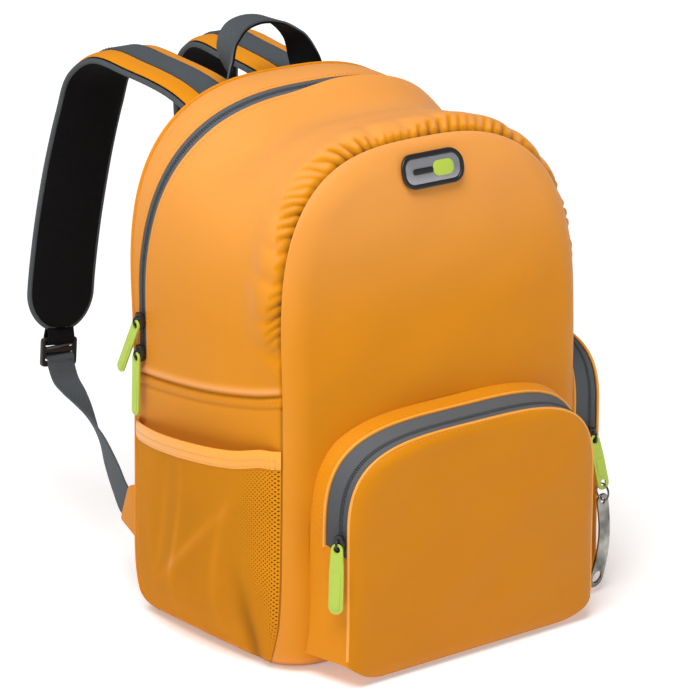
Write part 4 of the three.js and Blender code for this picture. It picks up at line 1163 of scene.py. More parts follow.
class BACKPACK_OT_shell(bpy.types.Operator):
    """Sew the front, back, side, base and gusset panels"""

    bl_idname = "backpack.shell"
    bl_label = "Shell"

    def execute(self, context):
        sizes = context.scene.backpack_sizes
        for panel in (*self.sew_panels(sizes), *self.sew_gussets(sizes), *self.sew_sides(sizes)):
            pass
        self.sew_base()
        self.sew_seams(sizes)
        return {"FINISHED"}

    def sew_panels(self, sizes):
        """Front and back panels."""
        front, back = draped(FRONT, FRONT_DRAPE), draped(BACK, BACK_DRAPE)

        # Painted highlight along the rim and towards the top of the front panel
        def front_shade(u, v):
            rim = 1 - smooth(np.minimum(np.minimum(u, 1 - u) * RIM_SIDES, 1 - v), *RIM_SPAN)
            return -RIM_SHINE * rim - top_highlight(front(u, v))

        rows = (
            ("front_panel", FRONT, front, FRONT_CELLS, sizes.wall, front_shade),
            ("back_panel", BACK, back, BACK_CELLS, sizes.back_wall, None),
        )
        made = []
        for node, panel, surface, grid, thick, shade in rows:
            into = towards(PANEL_CENTRE, np.array([0.0, panel.side, 0.0]), PANEL_REACH)
            wall = cloth(*grid, surface, thick, shade, into)
            made.append(piece(f"{node}_cloth", wall, *NYLON, [node]))
        return made

    def sew_gussets(self, sizes):
        """Gathered strip in front of the main zip and plain strip behind it."""
        def relief(along, back):
            ahead = zip_front(along) * gusset_depth(along) - back
            lip = ZIP_LIP * smooth(along, *LIP_RISE) * (1 - smooth(along, *LIP_FADE))
            return gathers(along, back, sizes)[0] + lip * hump(ahead, LIP_WIDTH)

        # Painted shade in the pleats, the seam valley and the side seam's grooves, painted highlight on the
        # seam's ridge and towards the top
        def front_shade(u, v):
            across = zip_front(u) * v**PLEAT_EASE
            points = upper_gusset(u, across)[0]
            return gathers(u, across * gusset_depth(u), sizes)[1] + side_seam(points)[1] - top_highlight(points)

        front = strip_surface(np.zeros_like, zip_front, relief, PLEAT_EASE)
        rear = strip_surface(zip_rear, np.ones_like)
        # The rear strip gets only the painted highlight towards the top
        rows = (
            ("zip_gusset_front", front, STRIP_CELLS, front_shade),
            ("zip_gusset_rear", rear, REAR_STRIP_CELLS, lambda u, v: -top_highlight(rear(u, v))),
        )
        return [
            piece(f"{node}_cloth", cloth(*grid, surface, sizes.wall, shade), *NYLON, [node])
            for node, surface, grid, shade in rows
        ]

    def sew_sides(self, sizes):
        """Lower panel of each side."""
        made = []
        for side, label in SIDES:
            surface = side_surface(side)

            # Painted shade in the side seam's grooves and in the front seam's valley, painted highlight on
            # the seam's ridge
            def shade(u, v, surface=surface):
                points = surface(u, v)
                behind = points[:, 1] - FRONT.depth(points[:, 2])
                return side_seam(points)[1] + VALLEY_SHADE * hump(behind, SEAM_VALLEY_WIDTH)

            panel = cloth(*SIDE_CELLS, surface, sizes.wall, shade)
            made.append(piece(f"side_panel_{label}_cloth", panel, *NYLON, [f"side_panel_{label}"]))
        return made

    def sew_base(self):
        """Flat base panel."""
        low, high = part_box("base_panel")
        middle = (low + high) / 2
        half = (high - low) / 2 - Vector((BASE_TUCK, BASE_TUCK, 0))
        base = plate(box_corners(half.x, half.y, BASE_CORNER), [], high.z - low.z, BASE_SOFTEN)
        bmesh.ops.translate(base, verts=base.verts[:], vec=(middle.x, middle.y, low.z))
        piece("base_panel_cloth", base, *NYLON, ["base_panel"])

    def sew_seams(self, sizes):
        """Welt of the back seam, and the stitches of the seam across each side."""
        def section(along):
            run = BACK.seam.run(mix(*WELT_SPAN, along))
            sideways = unit(np.cross(run, (0.0, 1.0, 0.0)))
            return sideways, np.cross(run, sideways)

        welt = tube(lambda u: BACK.seam.at(mix(*WELT_SPAN, u)), section, sizes.welt, WELT_CELLS)
        piece("back_seam_welt", welt, *NYLON)
        bm = bmesh.new()
        for side, _ in SIDES:
            def row(u, v, side=side):
                y = mix(FRONT.depth(SIDE_TOP), BACK.depth(SIDE_TOP), u if side == LEFT else 1 - u)
                z = SIDE_SEAM.read("z", y) - SEAM_STITCH_DROP + (v - 0.5) * SEAM_STITCH_BAND
                return xyz(side * side_out(y, z), y, z)
            sew(bm, row, SEAM_STITCH_SPAN, 0.5, sizes)
        piece("side_seam_stitches", bm, *THREAD)


# Zips, stitches and flat sizes


CUT_STEPS = 41


def cut(obj, surface, held):
    """Measures the flat piece of cloth that a surface takes and gives its length."""
    u, v = (axis.ravel() for axis in np.meshgrid(*[np.linspace(0, 1, CUT_STEPS)] * 2, indexing="ij"))
    points = surface(u, v).reshape(CUT_STEPS, CUT_STEPS, 3)
    long, wide = (np.linalg.norm(np.diff(points, axis=axis), axis=2) for axis in (0, 1))
    length, width = long.sum(0).max(), wide.sum(1).max()
    return length


def sheet_piece(name, bm, finish, slot, node, surface, held):
    """Piece of cloth that stands for a node; gives its length."""
    return cut(piece(name, bm, finish, slot, [node]), surface, held)


def outside(place):
    """Outside of a slab as a surface."""
    return lambda u, v: place(u, v, np.ones_like(u))


def sunk(surface, drop):
    """Surface set back by a drop."""
    return lambda u, v: surface(u, v) - drop * normals(surface, u, v)


def zip_shade(u, _):
    """Painted shade on a zip's tape towards its two ends."""
    return ZIP_SHADE * (1 - smooth(np.minimum(u, 1 - u), 0, ZIP_SHADE_ENDS))


def add_zip(name, tape, coil_at, grid, sizes, node):
    """Zip tape and the row of its coil."""
    bm = cloth(*grid, tape, ZIP_THICK, zip_shade)
    length = sheet_piece(f"{name}_tape", bm, "Zip tape", "zip_tape", node, tape, "stretched")
    count = int(length / sizes.zip_pitch)
    u = (np.arange(count) + 0.5) / count
    v = np.full_like(u, coil_at)
    points = tape(u, v)
    bm = bmesh.new()
    beads(bm, points, unit(np.gradient(points, axis=0)), normals(tape, u, v), np.array(COIL_HALF))
    piece(f"{name}_coil", bm, "Zip coil", "zip_tape")


class BACKPACK_OT_main_zip(bpy.types.Operator):
    """Set the main zip into the gusset with a row of stitches on each side"""

    bl_idname = "backpack.main_zip"
    bl_label = "Main zip"

    def execute(self, context):
        sizes = context.scene.backpack_sizes
        tape = strip_surface(zip_front, zip_rear)
        add_zip("main_zip", sunk(tape, ZIP_DROP), MAIN_COIL_AT, ZIP_CELLS, sizes, "main_zip")
        bm = bmesh.new()
        for offset in (-ZIP_HALF - ZIP_SEAM, ZIP_HALF + ZIP_SEAM):
            def row(u, v, at=offset):
                return upper_gusset(u, zip_across(u, at + (v - 0.5) * ZIP_SEAM))[0]
            sew(bm, row, ZIP_SEAM_SPAN, 0.5, sizes)
        piece("main_zip_stitches", bm, *THREAD)
        return {"FINISHED"}


# Zipped pockets


def pocket_half(half):
    """Half width of a pocket outline, wider towards its floor."""
    return lambda z: half + POCKET_WIDEN * (1 - smooth(z, 0, POCKET_WIDEN_TO))


def pocket_low(spread):
    """Height of the rounded lower edge of a pocket."""
    corner = np.maximum(0, (np.abs(spread) - POCKET_CORNER_FROM) / (1 - POCKET_CORNER_FROM))
    return POCKET_LOW + POCKET_CORNER * corner**POCKET_CORNER_POWER


def pocket_tuck(z):
    """How far the face draws in above its lower edge."""
    return POCKET_TUCK * (1 - np.minimum(1, z / POCKET_TUCK_TO)) ** 2


class Pocket:
    """Zipped pocket standing on a wall."""

    def __init__(self, form, wall_out, seat):
        self.form = form
        self.wall_out = wall_out
        self.seat = seat
        self.half = pocket_half(form.face_half)
        low = POCKET_LOW + POCKET_CORNER
        self.edge_line = arch_line(form.face, self.half, np.zeros_like, low)
        self.foot_line = arch_line(form.foot, pocket_half(form.foot_half), np.zeros_like, low)
        self.zip_from = (form.zip_end - low) / self.edge_line.length
        self.zip_start = POCKET_ZIP_START / (form.edge - wall_out(form.mid, form.face.top))

    def face(self, u, v):
        """Outside of the face."""
        form = self.form
        spread = np.sin((u - 0.5) * np.pi)
        up = mix(pocket_low(spread), arch_height(spread, form.face), np.sin(v * np.pi / 2))
        across = spread * self.half(np.minimum(up, form.face.spring))
        rise, swell = panel_rise(across, up, form.face, self.half(up), form.roll)
        out = form.edge + form.depth * rise + form.bulge * swell - pocket_tuck(up)
        return self.seat(form.mid + across, up, out)

    def band(self, along, k):
        """Band round the pocket from the edge of its face (0) to the wall (1)."""
        form = self.form
        point = mix(self.edge_line.at(along), self.foot_line.at(along), k[:, None])
        across, up = form.mid + point[:, 0], point[:, 2]
        out = mix(form.edge - pocket_tuck(up), self.wall_out(across, up), k)
        return self.seat(across, up, out)

    def gusset(self, u, v):
        """Strip behind the zip, which reaches the face where there is no zip."""
        beside = smooth(np.minimum(u, 1 - u), *(self.zip_from - gap for gap in POCKET_ZIP_TURN))
        return self.band(u, mix(self.form.zip_share * beside, 1, v))

    def zip(self, u, v):
        """Zip tape between the face and the strip."""
        start = self.zip_from - POCKET_ZIP_END
        along = mix(start, 1 - start, u)
        return self.band(along, mix(self.zip_start, self.form.zip_share, v))

    def zip_seat(self, along, k):
        """Place of a slider, a little along from the end of the zip."""
        return self.band(np.array([self.zip_from + along]), np.array([k]))[0]

    def floor(self, u, v):
        """Floor from the wall to the lower edge of the face."""
        spread = np.sin((u - 0.5) * np.pi)
        up = pocket_low(spread)
        across = self.form.mid + spread * self.half(up)
        return self.seat(across, up, mix(self.wall_out(across, up), self.form.edge - pocket_tuck(up), v))


def seat_front(across, up, out):
    """Point of the front pocket in the frame."""
    return xyz(across, -out, up)


def seat_right(across, up, out):
    """Point of the side pocket in the frame."""
    return xyz(out, across, up)


FRONT_BAG = Pocket(FRONT_POCKET, lambda x, z: -FRONT.face(x, z), seat_front)
SIDE_BAG = Pocket(SIDE_POCKET, side_out, seat_right)


class BACKPACK_OT_pockets(bpy.types.Operator):
    """Sew the zipped pockets of the front and of the right side"""

    bl_idname = "backpack.pockets"
    bl_label = "Zipped pockets"

    def execute(self, context):
        sizes = context.scene.backpack_sizes
        self.sew_pocket("front_pocket", FRONT_BAG, FRONT_POCKET_DRAPE, sizes)
        self.sew_pocket("side_pocket", SIDE_BAG, SIDE_POCKET_DRAPE, sizes)
        return {"FINISHED"}

    def sew_pocket(self, name, pocket, form, sizes):
        """One pocket with its zip, edges and stitches."""
        out = pocket.seat(0.0, 0.0, 1.0)

        def face(u, v):
            points = pocket.face(u, v)
            edge = np.minimum(np.minimum(u, 1 - u), np.minimum(v, 1 - v))
            return points + by(drape(points, form) * smooth(edge, 0, POCKET_DRAPE_EDGE), out)

        # Painted shade on the pocket face, darker towards the bottom
        def face_shade(_, v):
            return mix(*POCKET_SHADE, v)

        middle = pocket.seat(pocket.form.mid, pocket.form.face.spring, 0.0)
        parts = (
            ("face", face, POCKET_FACE_CELLS, face_shade, towards(middle, out, PANEL_REACH)),
            ("gusset", pocket.gusset, POCKET_GUSSET_CELLS, None, None),
            ("floor", pocket.floor, POCKET_FLOOR_CELLS, None, None),
        )
        for part, surface, grid, shade, into in parts:
            bm = cloth(*grid, surface, sizes.pocket_wall, shade, into)
            sheet_piece(f"{name}_{part}_cloth", bm, *NYLON, f"{name}_{part}", surface, "stretched")
        tape = sunk(pocket.zip, ZIP_DROP)
        add_zip(name, tape, POCKET_COIL_AT, POCKET_ZIP_CELLS, sizes, f"{name}_zip")
        edges = (
            ("face", PIPING_END, pocket.zip_start * PIPING_ON_FACE),
            ("gusset", pocket.zip_from - PIPING_END, pocket.form.zip_share + PIPING_GAP),
        )
        for label, end, k in edges:
            path = np.linspace(end, 1 - end, PIPING_STEPS)
            line = Line(pocket.band(path, np.full_like(path, k)))
            piece(f"{name}_{label}_piping", piping(line), "Satin tape", "orange_nylon")
        bm = bmesh.new()
        for k in (pocket.form.zip_share + GUSSET_SEAM_GAP, WALL_SEAM):
            sew(bm, pocket.band, (pocket.zip_from, 1 - pocket.zip_from, POCKET_SEAM_STEPS), k, sizes)
        sew(bm, face, FACE_SEAM_SPAN, FACE_SEAM, sizes)
        piece(f"{name}_stitches", bm, *THREAD)


def piping(line):
    """Round cord along a line, with a section that needs no frame of its own."""
    def section(u):
        run = line.run(u)
        first = unit(np.cross(run, PIPING_SLANT))
        return first, np.cross(run, first)
    return tube(line.at, section, PIPING, PIPING_CELLS)


# Net pocket


def mesh_top(y):
    """Height of the sagging rim."""
    return MESH_RIM.read("top", y)


def mesh_out(y, z):
    """Distance of the net from the middle plane, and its painted shade and highlight: painted shade in its
    middle and along the corner fold, painted highlight along its folds.
    """
    front = FRONT.depth(z) + MESH_FRONT
    along = np.clip((y - front) / (MESH_BACK - front), 0, 1)
    climb = np.clip((z - MESH_LOW) / (mesh_top(y) - MESH_LOW), 0, 1)
    quick = np.minimum(1, climb * MESH_SAG_QUICK) ** MESH_SAG_UP
    sag = np.sin(np.pi * along) ** MESH_SAG_ACROSS * quick
    gap = MESH_GAP * smooth(np.minimum(along, 1 - along), *MESH_GAP_ENDS)
    out = side_out(y, z) + gap + MESH_STAND * sag * mix(MESH_STAND_LOW, 1, climb)
    inside = np.sin(np.pi * climb) * np.sin(np.pi * along)
    corner = hump(y - front - CORNER_FOLD_AT - CORNER_FOLD_SLANT * z, CORNER_FOLD_WIDTH)
    corner *= 1 - smooth(z, *CORNER_FOLD_FADE)
    out -= CORNER_FOLD * corner
    shade = NET_SHADE * inside + CORNER_SHADE * corner
    for foot, rim, depth, spread in MESH_FOLDS.rows:
        bend = FOLD_BEND * np.sin(FOLD_BEND_TURN * climb + FOLD_BEND_SHIFT * foot)
        offset = (y - bend - mix(foot, rim, climb)) / np.hypot(1, (rim - foot) / MESH_TALL)
        out += depth * hump(offset, spread) * inside
        shade -= FOLD_SHINE * hump(offset, spread / 2) * inside**2
    return out, shade


def mesh_strip(low, high):
    """Strip of the net pocket between two heights, given under its rim."""
    def surface(u, v):
        rim = mesh_top(mix(MESH_BACK, FRONT.depth(SIDE_TOP) + MESH_FRONT, u))
        z = mix(low(rim), high(rim), v)
        y = mix(MESH_BACK, FRONT.depth(z) + MESH_FRONT, u)
        return xyz(-mesh_out(y, z)[0], y, z)
    return surface


class BACKPACK_OT_net_pocket(bpy.types.Operator):
    """Sew the net pocket of the left side and the binding of its rim"""

    bl_idname = "backpack.net_pocket"
    bl_label = "Net pocket"

    def execute(self, context):
        sizes = context.scene.backpack_sizes
        wall = mesh_strip(lambda rim: np.full_like(rim, MESH_LOW), lambda rim: rim - MESH_BINDING / 2)
        net = cloth(*NET_CELLS, wall, sizes.net, lambda u, v: mesh_out(*wall(u, v).T[1:])[1])
        sheet_piece("mesh_pocket_net", net, "Pocket net", "pocket_mesh", "mesh_pocket", wall, "stretched")
        rim = mesh_strip(lambda top: top - MESH_BINDING, lambda top: top)

        def band(u, v, w):
            roll = BINDING_THICK / 2 * rounded(2 * v - 1, *BINDING_ROUND)
            return rim(u, v) + by(roll * (2 * w - 1), normals(rim, u, v))

        tape = slab(*BINDING_CELLS, band)
        node = "mesh_pocket_binding"
        sheet_piece(f"{node}_tape", tape, "Satin tape", "binding_tape", node, rim, "stretched")
        bm = bmesh.new()
        for v in BINDING_SEAMS:
            sew(bm, outside(band), BINDING_SEAM_SPAN, v, sizes)
        piece("mesh_pocket_stitches", bm, "Sewing thread", "binding_tape")
        return {"FINISHED"}


# Straps and haul loop


def strap_frame(line, t, turn=0.0):
    """Point, run, across and outer direction of a strap along a line."""
    run = line.run(t, True)
    across = unit(np.array([1.0, 0.0, 0.0]) - by(run[:, 0], run))
    outer = np.cross(across, run)
    turn = np.broadcast_to(turn, t.shape)
    turned = by(np.cos(turn), across) + by(np.sin(turn), outer)
    return line.at(t, True), run, turned, np.cross(turned, run)


def pad_width(t):
    """Half width of the pad, round at its lower end."""
    end = np.clip((t - PAD_END_FROM) / (1 - PAD_END_FROM), 0, 1) * PAD_END_TIP
    return PAD.read("half", t, True) * np.sqrt(1 - end**2)


class Strap:
    """Shoulder strap of one side."""

    def __init__(self, side):
        self.side = side
        self.line = Line(PAD.points() * (-side, 1, 1))
        self.end = [part[0] for part in strap_frame(self.line, np.array([1.0]))]

    def layer(self, span, width, low, high):
        """Layer of the pad between two heights off its middle."""
        def place(u, v, w):
            t = mix(*span, 1 - (1 - u) ** PAD_EASE)
            point, _, across, outer = strap_frame(self.line, t)
            reach = (0.5 - v) * 2
            return point + by(reach * width(t), across) + by(mix(low(reach), high(reach), w), outer)
        return place

    def seat(self, across, along, out):
        """Point beside the lower end of the pad."""
        point, run, side, outer = self.end
        return point + by(across, side) + by(along, run) + by(out, outer)

    def seat_matrix(self):
        """Axes of the lower end of the pad."""
        point, run, side, outer = self.end
        return Matrix.Translation(point) @ Matrix(np.stack([side, run, outer], axis=1)).to_4x4()

    def edge(self, stand):
        """Line round the pad's edge, and the place along the pad at each of its points."""
        down = np.maximum(1 - np.linspace(1, 0, EDGE_STEPS) ** PAD_EASE, EDGE_START)
        t = np.concatenate([down, down[::-1]])
        side = np.repeat([1.0, -1.0], EDGE_STEPS)
        point, run, across, _ = strap_frame(self.line, t)
        tip = stand * smooth(t, PAD_END_FROM, 1)
        points = point + by(side * (pad_width(t) + stand - tip * TIP_IN), across) + by(tip * TIP_ALONG, run)
        return Line(points), t

    def lower_web(self, width, thick):
        """Webbing from the buckle down to the corner tab."""
        start = [self.seat(np.array(0.0), along, out) for along, out, _ in WEB_START.rows]
        line = Line([*start, *(LOWER_WEB.points() * (-self.side, 1, 1))])
        turns = Table("turn", *WEB_START.rows[:, 2:], *LOWER_WEB.rows[:, 3:])

        def place(u, v, w):
            turn = np.radians(turns.read("turn", u, True)) * self.side
            point, _, across, outer = strap_frame(line, u, turn)
            return point + by((0.5 - v) * width, across) + by((w - 0.5) * thick, outer)
        return place

    def keeper(self, width):
        """Band folded round the upper bar of the buckle."""
        line = Line(xyz(KEEPER.rows[:, 1], KEEPER.rows[:, 0], 0))

        def place(u, v, w):
            point, run = line.at(u, True), line.run(u, True)
            lift = (w - 0.5) * KEEPER_THICK
            along, out = point[:, 1] + run[:, 0] * lift, point[:, 0] - run[:, 1] * lift
            return self.seat((v - 0.5) * width, along, out)
        return place


def buckle_mesh():
    """Ladder-lock frame: a grid of bars with its two slots cut out."""
    bm = bmesh.new()
    columns, rows = len(BUCKLE_X) - 1, len(BUCKLE_Y) - 1
    bmesh.ops.create_grid(bm, x_segments=columns, y_segments=rows, size=0.5)
    for vert in bm.verts:
        i, j = round((vert.co.x + 0.5) * columns), round((vert.co.y + 0.5) * rows)
        vert.co = (BUCKLE_X[i], BUCKLE_Y[j], -BUCKLE_THICK / 2)
    slots = [
        face for face in bm.faces
        if abs(face.calc_center_median().x) < BUCKLE_X[2] * 0.5
        and any(low < face.calc_center_median().y < high for low, high in (BUCKLE_Y[1:3], BUCKLE_Y[3:5]))
    ]
    bmesh.ops.delete(bm, geom=slots, context="FACES")
    raised = bmesh.ops.extrude_face_region(bm, geom=bm.faces[:], use_keep_orig=True)["geom"]
    lifted = [item for item in raised if isinstance(item, bmesh.types.BMVert)]
    bmesh.ops.translate(bm, verts=lifted, vec=(0, 0, BUCKLE_THICK))
    corners = [
        edge for edge in bm.edges
        if abs(edge.verts[0].co.z - edge.verts[1].co.z) > BUCKLE_THICK / 2
        and abs(edge.verts[0].co.x) > BUCKLE_X[3] * 0.99
        and min(abs(edge.verts[0].co.y - end) for end in (BUCKLE_Y[0], BUCKLE_Y[-1])) < 1e-5
    ]
    bmesh.ops.bevel(
        bm, geom=corners, offset=BUCKLE_CORNER, affect="EDGES", segments=4, profile=0.5, material=-1,
    )
    soften_rims(bm, BUCKLE_SOFTEN)
    return bm


class BACKPACK_OT_straps(bpy.types.Operator):
    """Build both shoulder straps with pads, webbing, buckles and corner tabs"""

    bl_idname = "backpack.straps"
    bl_label = "Shoulder straps"

    def execute(self, context):
        sizes = context.scene.backpack_sizes
        for side, label in SIDES:
            strap = Strap(side)
            self.build_pad(strap, label, sizes)
            self.build_lower(strap, label, sizes)
            self.build_tab(side, label)
        return {"FINISHED"}

    def build_pad(self, strap, label, sizes):
        """Pad, its cloth face, the webbing on it and the binding round it."""
        def soft(reach):
            return sizes.pad / 2 * rounded(reach, *PAD_ROUND)

        def under_face(reach):
            return soft(reach * FACE_WIDTH) + FACE_LIFT

        def over_face(reach):
            return under_face(reach) + FACE_THICK * rounded(reach, *FACE_ROUND)

        def under_web(reach):
            return np.full_like(reach, sizes.pad / 2 + FACE_LIFT + FACE_THICK)

        def over_web(reach):
            return under_web(reach) + sizes.webbing * rounded(reach, *BAND_ROUND)

        pad = strap.layer(PAD_SPAN, pad_width, lambda reach: -soft(reach), soft)
        foam = slab(*PAD_CELLS, pad)
        made = piece(f"strap_pad_{label}_foam", foam, *PADDING, [f"strap_pad_{label}"])
        face = strap.layer(FACE_SPAN, lambda t: pad_width(t) * FACE_WIDTH, under_face, over_face)
        self.build_band(f"strap_face_{label}", "cloth", FACE_CELLS, face, NYLON, "stretched")
        half = sizes.webbing_width / 2
        web = strap.layer(BAND_SPAN, lambda t: np.full_like(t, half), under_web, over_web)
        self.build_band(f"strap_face_webbing_{label}", "band", BAND_CELLS, web, WEBBING, "stretched")
        line, t = strap.edge(BINDING_STAND)

        def section(u):
            place = np.interp(u, np.linspace(0, 1, len(t)), t)
            run = line.run(u, True)
            outer = strap_frame(strap.line, place)[3]
            outer = unit(outer - by((outer * run).sum(1), run))
            return outer, np.cross(run, outer)

        roll = tube(lambda u: line.at(u, True), section, sizes.binding, *BINDING_ROLL_CELLS)
        nodes = [f"strap_binding_{edge}_{label}" for edge in ("inner", "outer")]
        piece(f"strap_binding_{label}_roll", roll, *WEBBING, nodes)
        bm = bmesh.new()
        for v in BAND_SEAMS:
            sew(bm, outside(web), BAND_SEAM_SPAN, v, sizes)
        piece(f"strap_stitches_{label}", bm, "Grey thread", "grey_webbing")

    def build_band(self, node, kind, grid, place, look, held):
        """One flat layer that stands for a node."""
        sheet_piece(f"{node}_{kind}", slab(*grid, place), *look, node, outside(place), held)

    def build_lower(self, strap, label, sizes):
        """Keeper, buckle and lower webbing."""
        keeper = strap.keeper(sizes.webbing_width)
        self.build_band(f"strap_keeper_{label}", "band", KEEPER_CELLS, keeper, PADDING, "folded")
        bm = buckle_mesh()
        bmesh.ops.transform(bm, matrix=strap.seat_matrix(), verts=bm.verts[:])
        piece(f"strap_buckle_{label}_frame", bm, *PLASTIC, [f"strap_buckle_{label}"])
        web = strap.lower_web(sizes.webbing_width, sizes.webbing)
        self.build_band(f"strap_webbing_{label}", "band", LOWER_WEB_CELLS, web, WEBBING, "hung")

    def build_tab(self, side, label):
        """Corner tab that takes the lower webbing."""
        bm = plate(TAB_OUTLINE, [], TAB_THICK, TAB_SOFTEN)
        turn = Matrix(((0, 0, 1), (1, 0, 0), (0, 1, 0))).to_4x4()
        place = Matrix.Translation((side * TAB_X - TAB_THICK / 2, 0, 0))
        bmesh.ops.transform(bm, matrix=place @ turn, verts=bm.verts[:])
        made = piece(f"strap_tab_{label}_cloth", bm, *NYLON, [f"strap_tab_{label}"])


def loop_place(low, high, width):
    """Band of the haul loop between two heights off its line."""
    rows = np.vstack([LOOP.rows, LOOP.rows[-2::-1] * (-1, 1, 1, 1)])
    line = Line(rows[:, :3] + (LOOP_MID, 0, 0))
    turns = Table("turn", *rows[:, 3:])

    def place(u, v, w):
        point, run = line.at(u, True), line.run(u, True)
        level = unit(np.array([0.0, 1.0, 0.0]) - by(run[:, 1], run))
        away = np.cross(run, level)
        turn = np.radians(turns.read("turn", u, True))
        across = by(np.cos(turn), level) + by(np.sin(turn), away)
        return point + by((v - 0.5) * width, across) + by(mix(low, high, w), np.cross(run, across))
    return place


class BACKPACK_OT_haul_loop(bpy.types.Operator):
    """Fold the haul loop of grey webbing with its black lining"""

    bl_idname = "backpack.haul_loop"
    bl_label = "Haul loop"

    def execute(self, context):
        sizes = context.scene.backpack_sizes
        bands = (
            ("haul_loop", "band", 0.0, sizes.webbing, WEBBING),
            ("haul_loop_lining", "cloth", -LINING_GAP - LINING_THICK, -LINING_GAP, PADDING),
        )
        for node, kind, low, high, look in bands:
            place = loop_place(low, high, sizes.webbing_width)
            band = slab(*LOOP_CELLS, place)
            sheet_piece(f"{node}_{kind}", band, *look, node, outside(place), "folded")
        return {"FINISHED"}


# Badge


def badge_outline(inset):
    """Outline of the badge, set in from its edge."""
    return box_corners(BADGE_HALF_X - inset, BADGE_HALF_Y - inset, BADGE_CORNER - inset)


def mark_outline(mark):
    """Outline of a mark on the badge's field."""
    corners = box_corners(mark.half_x, mark.half_y, mark.corner)
    return [(x + mark.shift, y, radius) for x, y, radius in corners]


class BACKPACK_OT_badge(bpy.types.Operator):
    """Fit the plain badge on the front panel"""

    bl_idname = "backpack.badge"
    bl_label = "Badge"

    def execute(self, context):
        hole, field = badge_outline(BADGE_RIM), badge_outline(BADGE_RIM + BADGE_GAP)
        bar, pill = mark_outline(BADGE_BAR), mark_outline(BADGE_PILL)
        silver, marks = ("Badge field", "badge_plastic"), (FIELD_THICK, MARK_THICK)
        black, lime = ("Black plastic", "badge_plastic"), ("Lime rubber", "badge_plastic")
        parts = (
            ("badge_rim_frame", badge_outline(0), [hole], 0, BADGE_THICK, PLASTIC, ["badge_rim"]),
            ("badge_field_plate", field, [], 0, FIELD_THICK, silver, ["badge_field"]),
            ("badge_bar", bar, [], *marks, black, []),
            ("badge_pill", pill, [], *marks, lime, []),
        )
        for name, outline, holes, low, thick, look, nodes in parts:
            bm = plate(outline, holes, thick, min(BADGE_SOFTEN, thick * BADGE_SOFTEN_SHARE))
            for vert in bm.verts:
                x, z = vert.co.x, BADGE_Z + vert.co.y
                panel = float(FRONT.face(x * BADGE_WRAP, z))
                vert.co = (x, panel - BADGE_STAND - low - vert.co.z, z)
            bmesh.ops.recalc_face_normals(bm, faces=bm.faces[:])
            piece(name, bm, *look, nodes)
        return {"FINISHED"}


# Sliders, pulls, ring and opener


def stand(place, turn, lean=0.0, swing=0.0):
    """Stands a flat piece up at a place: its foot swung out by lean, its face turned about the upright."""
    upright = Matrix.Rotation(math.pi / 2 - lean, 4, "X") @ Matrix.Rotation(swing, 4, "Z")
    return Matrix.Translation(place) @ Matrix.Rotation(turn, 4, "Z") @ upright


def join(first, second):
    """Adds the second mesh to the first."""
    mesh = bpy.data.meshes.new("join")
    second.to_mesh(mesh)
    second.free()
    first.from_mesh(mesh)
    bpy.data.meshes.remove(mesh)
    return first


def slider_mesh():
    """Shield-shaped body and the bail that carries the pull."""
    half, end = SLIDER_WIDTH / 2, SLIDER_LENGTH / 2
    head, tail = half * SLIDER_HEAD, half * SLIDER_TAIL
    outline = [
        (-head, end, SLIDER_CORNER), (-half, 0, SLIDER_CORNER), (-tail, -end, SLIDER_TAIL_CORNER),
        (tail, -end, SLIDER_TAIL_CORNER), (half, 0, SLIDER_CORNER), (head, end, SLIDER_CORNER),
    ]
    bm = plate(outline, [], SLIDER_THICK, SLIDER_SOFTEN)
    bmesh.ops.translate(bm, verts=bm.verts[:], vec=(0, 0, -SLIDER_THICK))
    return join(bm, hoop(BAIL_RADIUS, BAIL_WIRE))


def round_hole(x, y, radius):
    """Corners of a round hole."""
    return [(x + cx, y + cy, radius * HOLE_ROUND) for cx, cy, _ in box_corners(radius, radius, 0)]


def pull_mesh(pull):
    """Rubber tab that hangs from the hole at its origin, with a raised grip."""
    half, shoulder, foot = pull.width / 2, -pull.length * PULL_SHOULDER, -pull.length
    top, side, end = PULL_INSET * FULL_ROUND, PULL_SHOULDER_CORNER, half * ROUND
    outline = [
        (PULL_INSET, PULL_INSET, top), (-PULL_INSET, PULL_INSET, top),
        (-half, shoulder, side), (-half, foot, end), (half, foot, end), (half, shoulder, side),
    ]
    holes = [round_hole(0, 0, PULL_HOLE / 2)]
    if pull.ring:
        holes.append(round_hole(0, foot + half, PULL_HOLE / 2))
    bm = plate(outline, holes, PULL_THICK, PULL_SOFTEN)
    grip_low = foot + (pull.width if pull.ring else half * GRIP_FOOT)
    middle = (shoulder + grip_low) / 2
    grip = box_corners(half * GRIP_HALF, (shoulder - grip_low) / 2, half * GRIP_CORNER)
    grip = [(x, y + middle, radius) for x, y, radius in grip]
    raised = plate(grip, [], GRIP_THICK, GRIP_SOFTEN)
    bmesh.ops.translate(raised, verts=raised.verts[:], vec=(0, 0, PULL_THICK - GRIP_SUNK))
    return join(bm, raised)


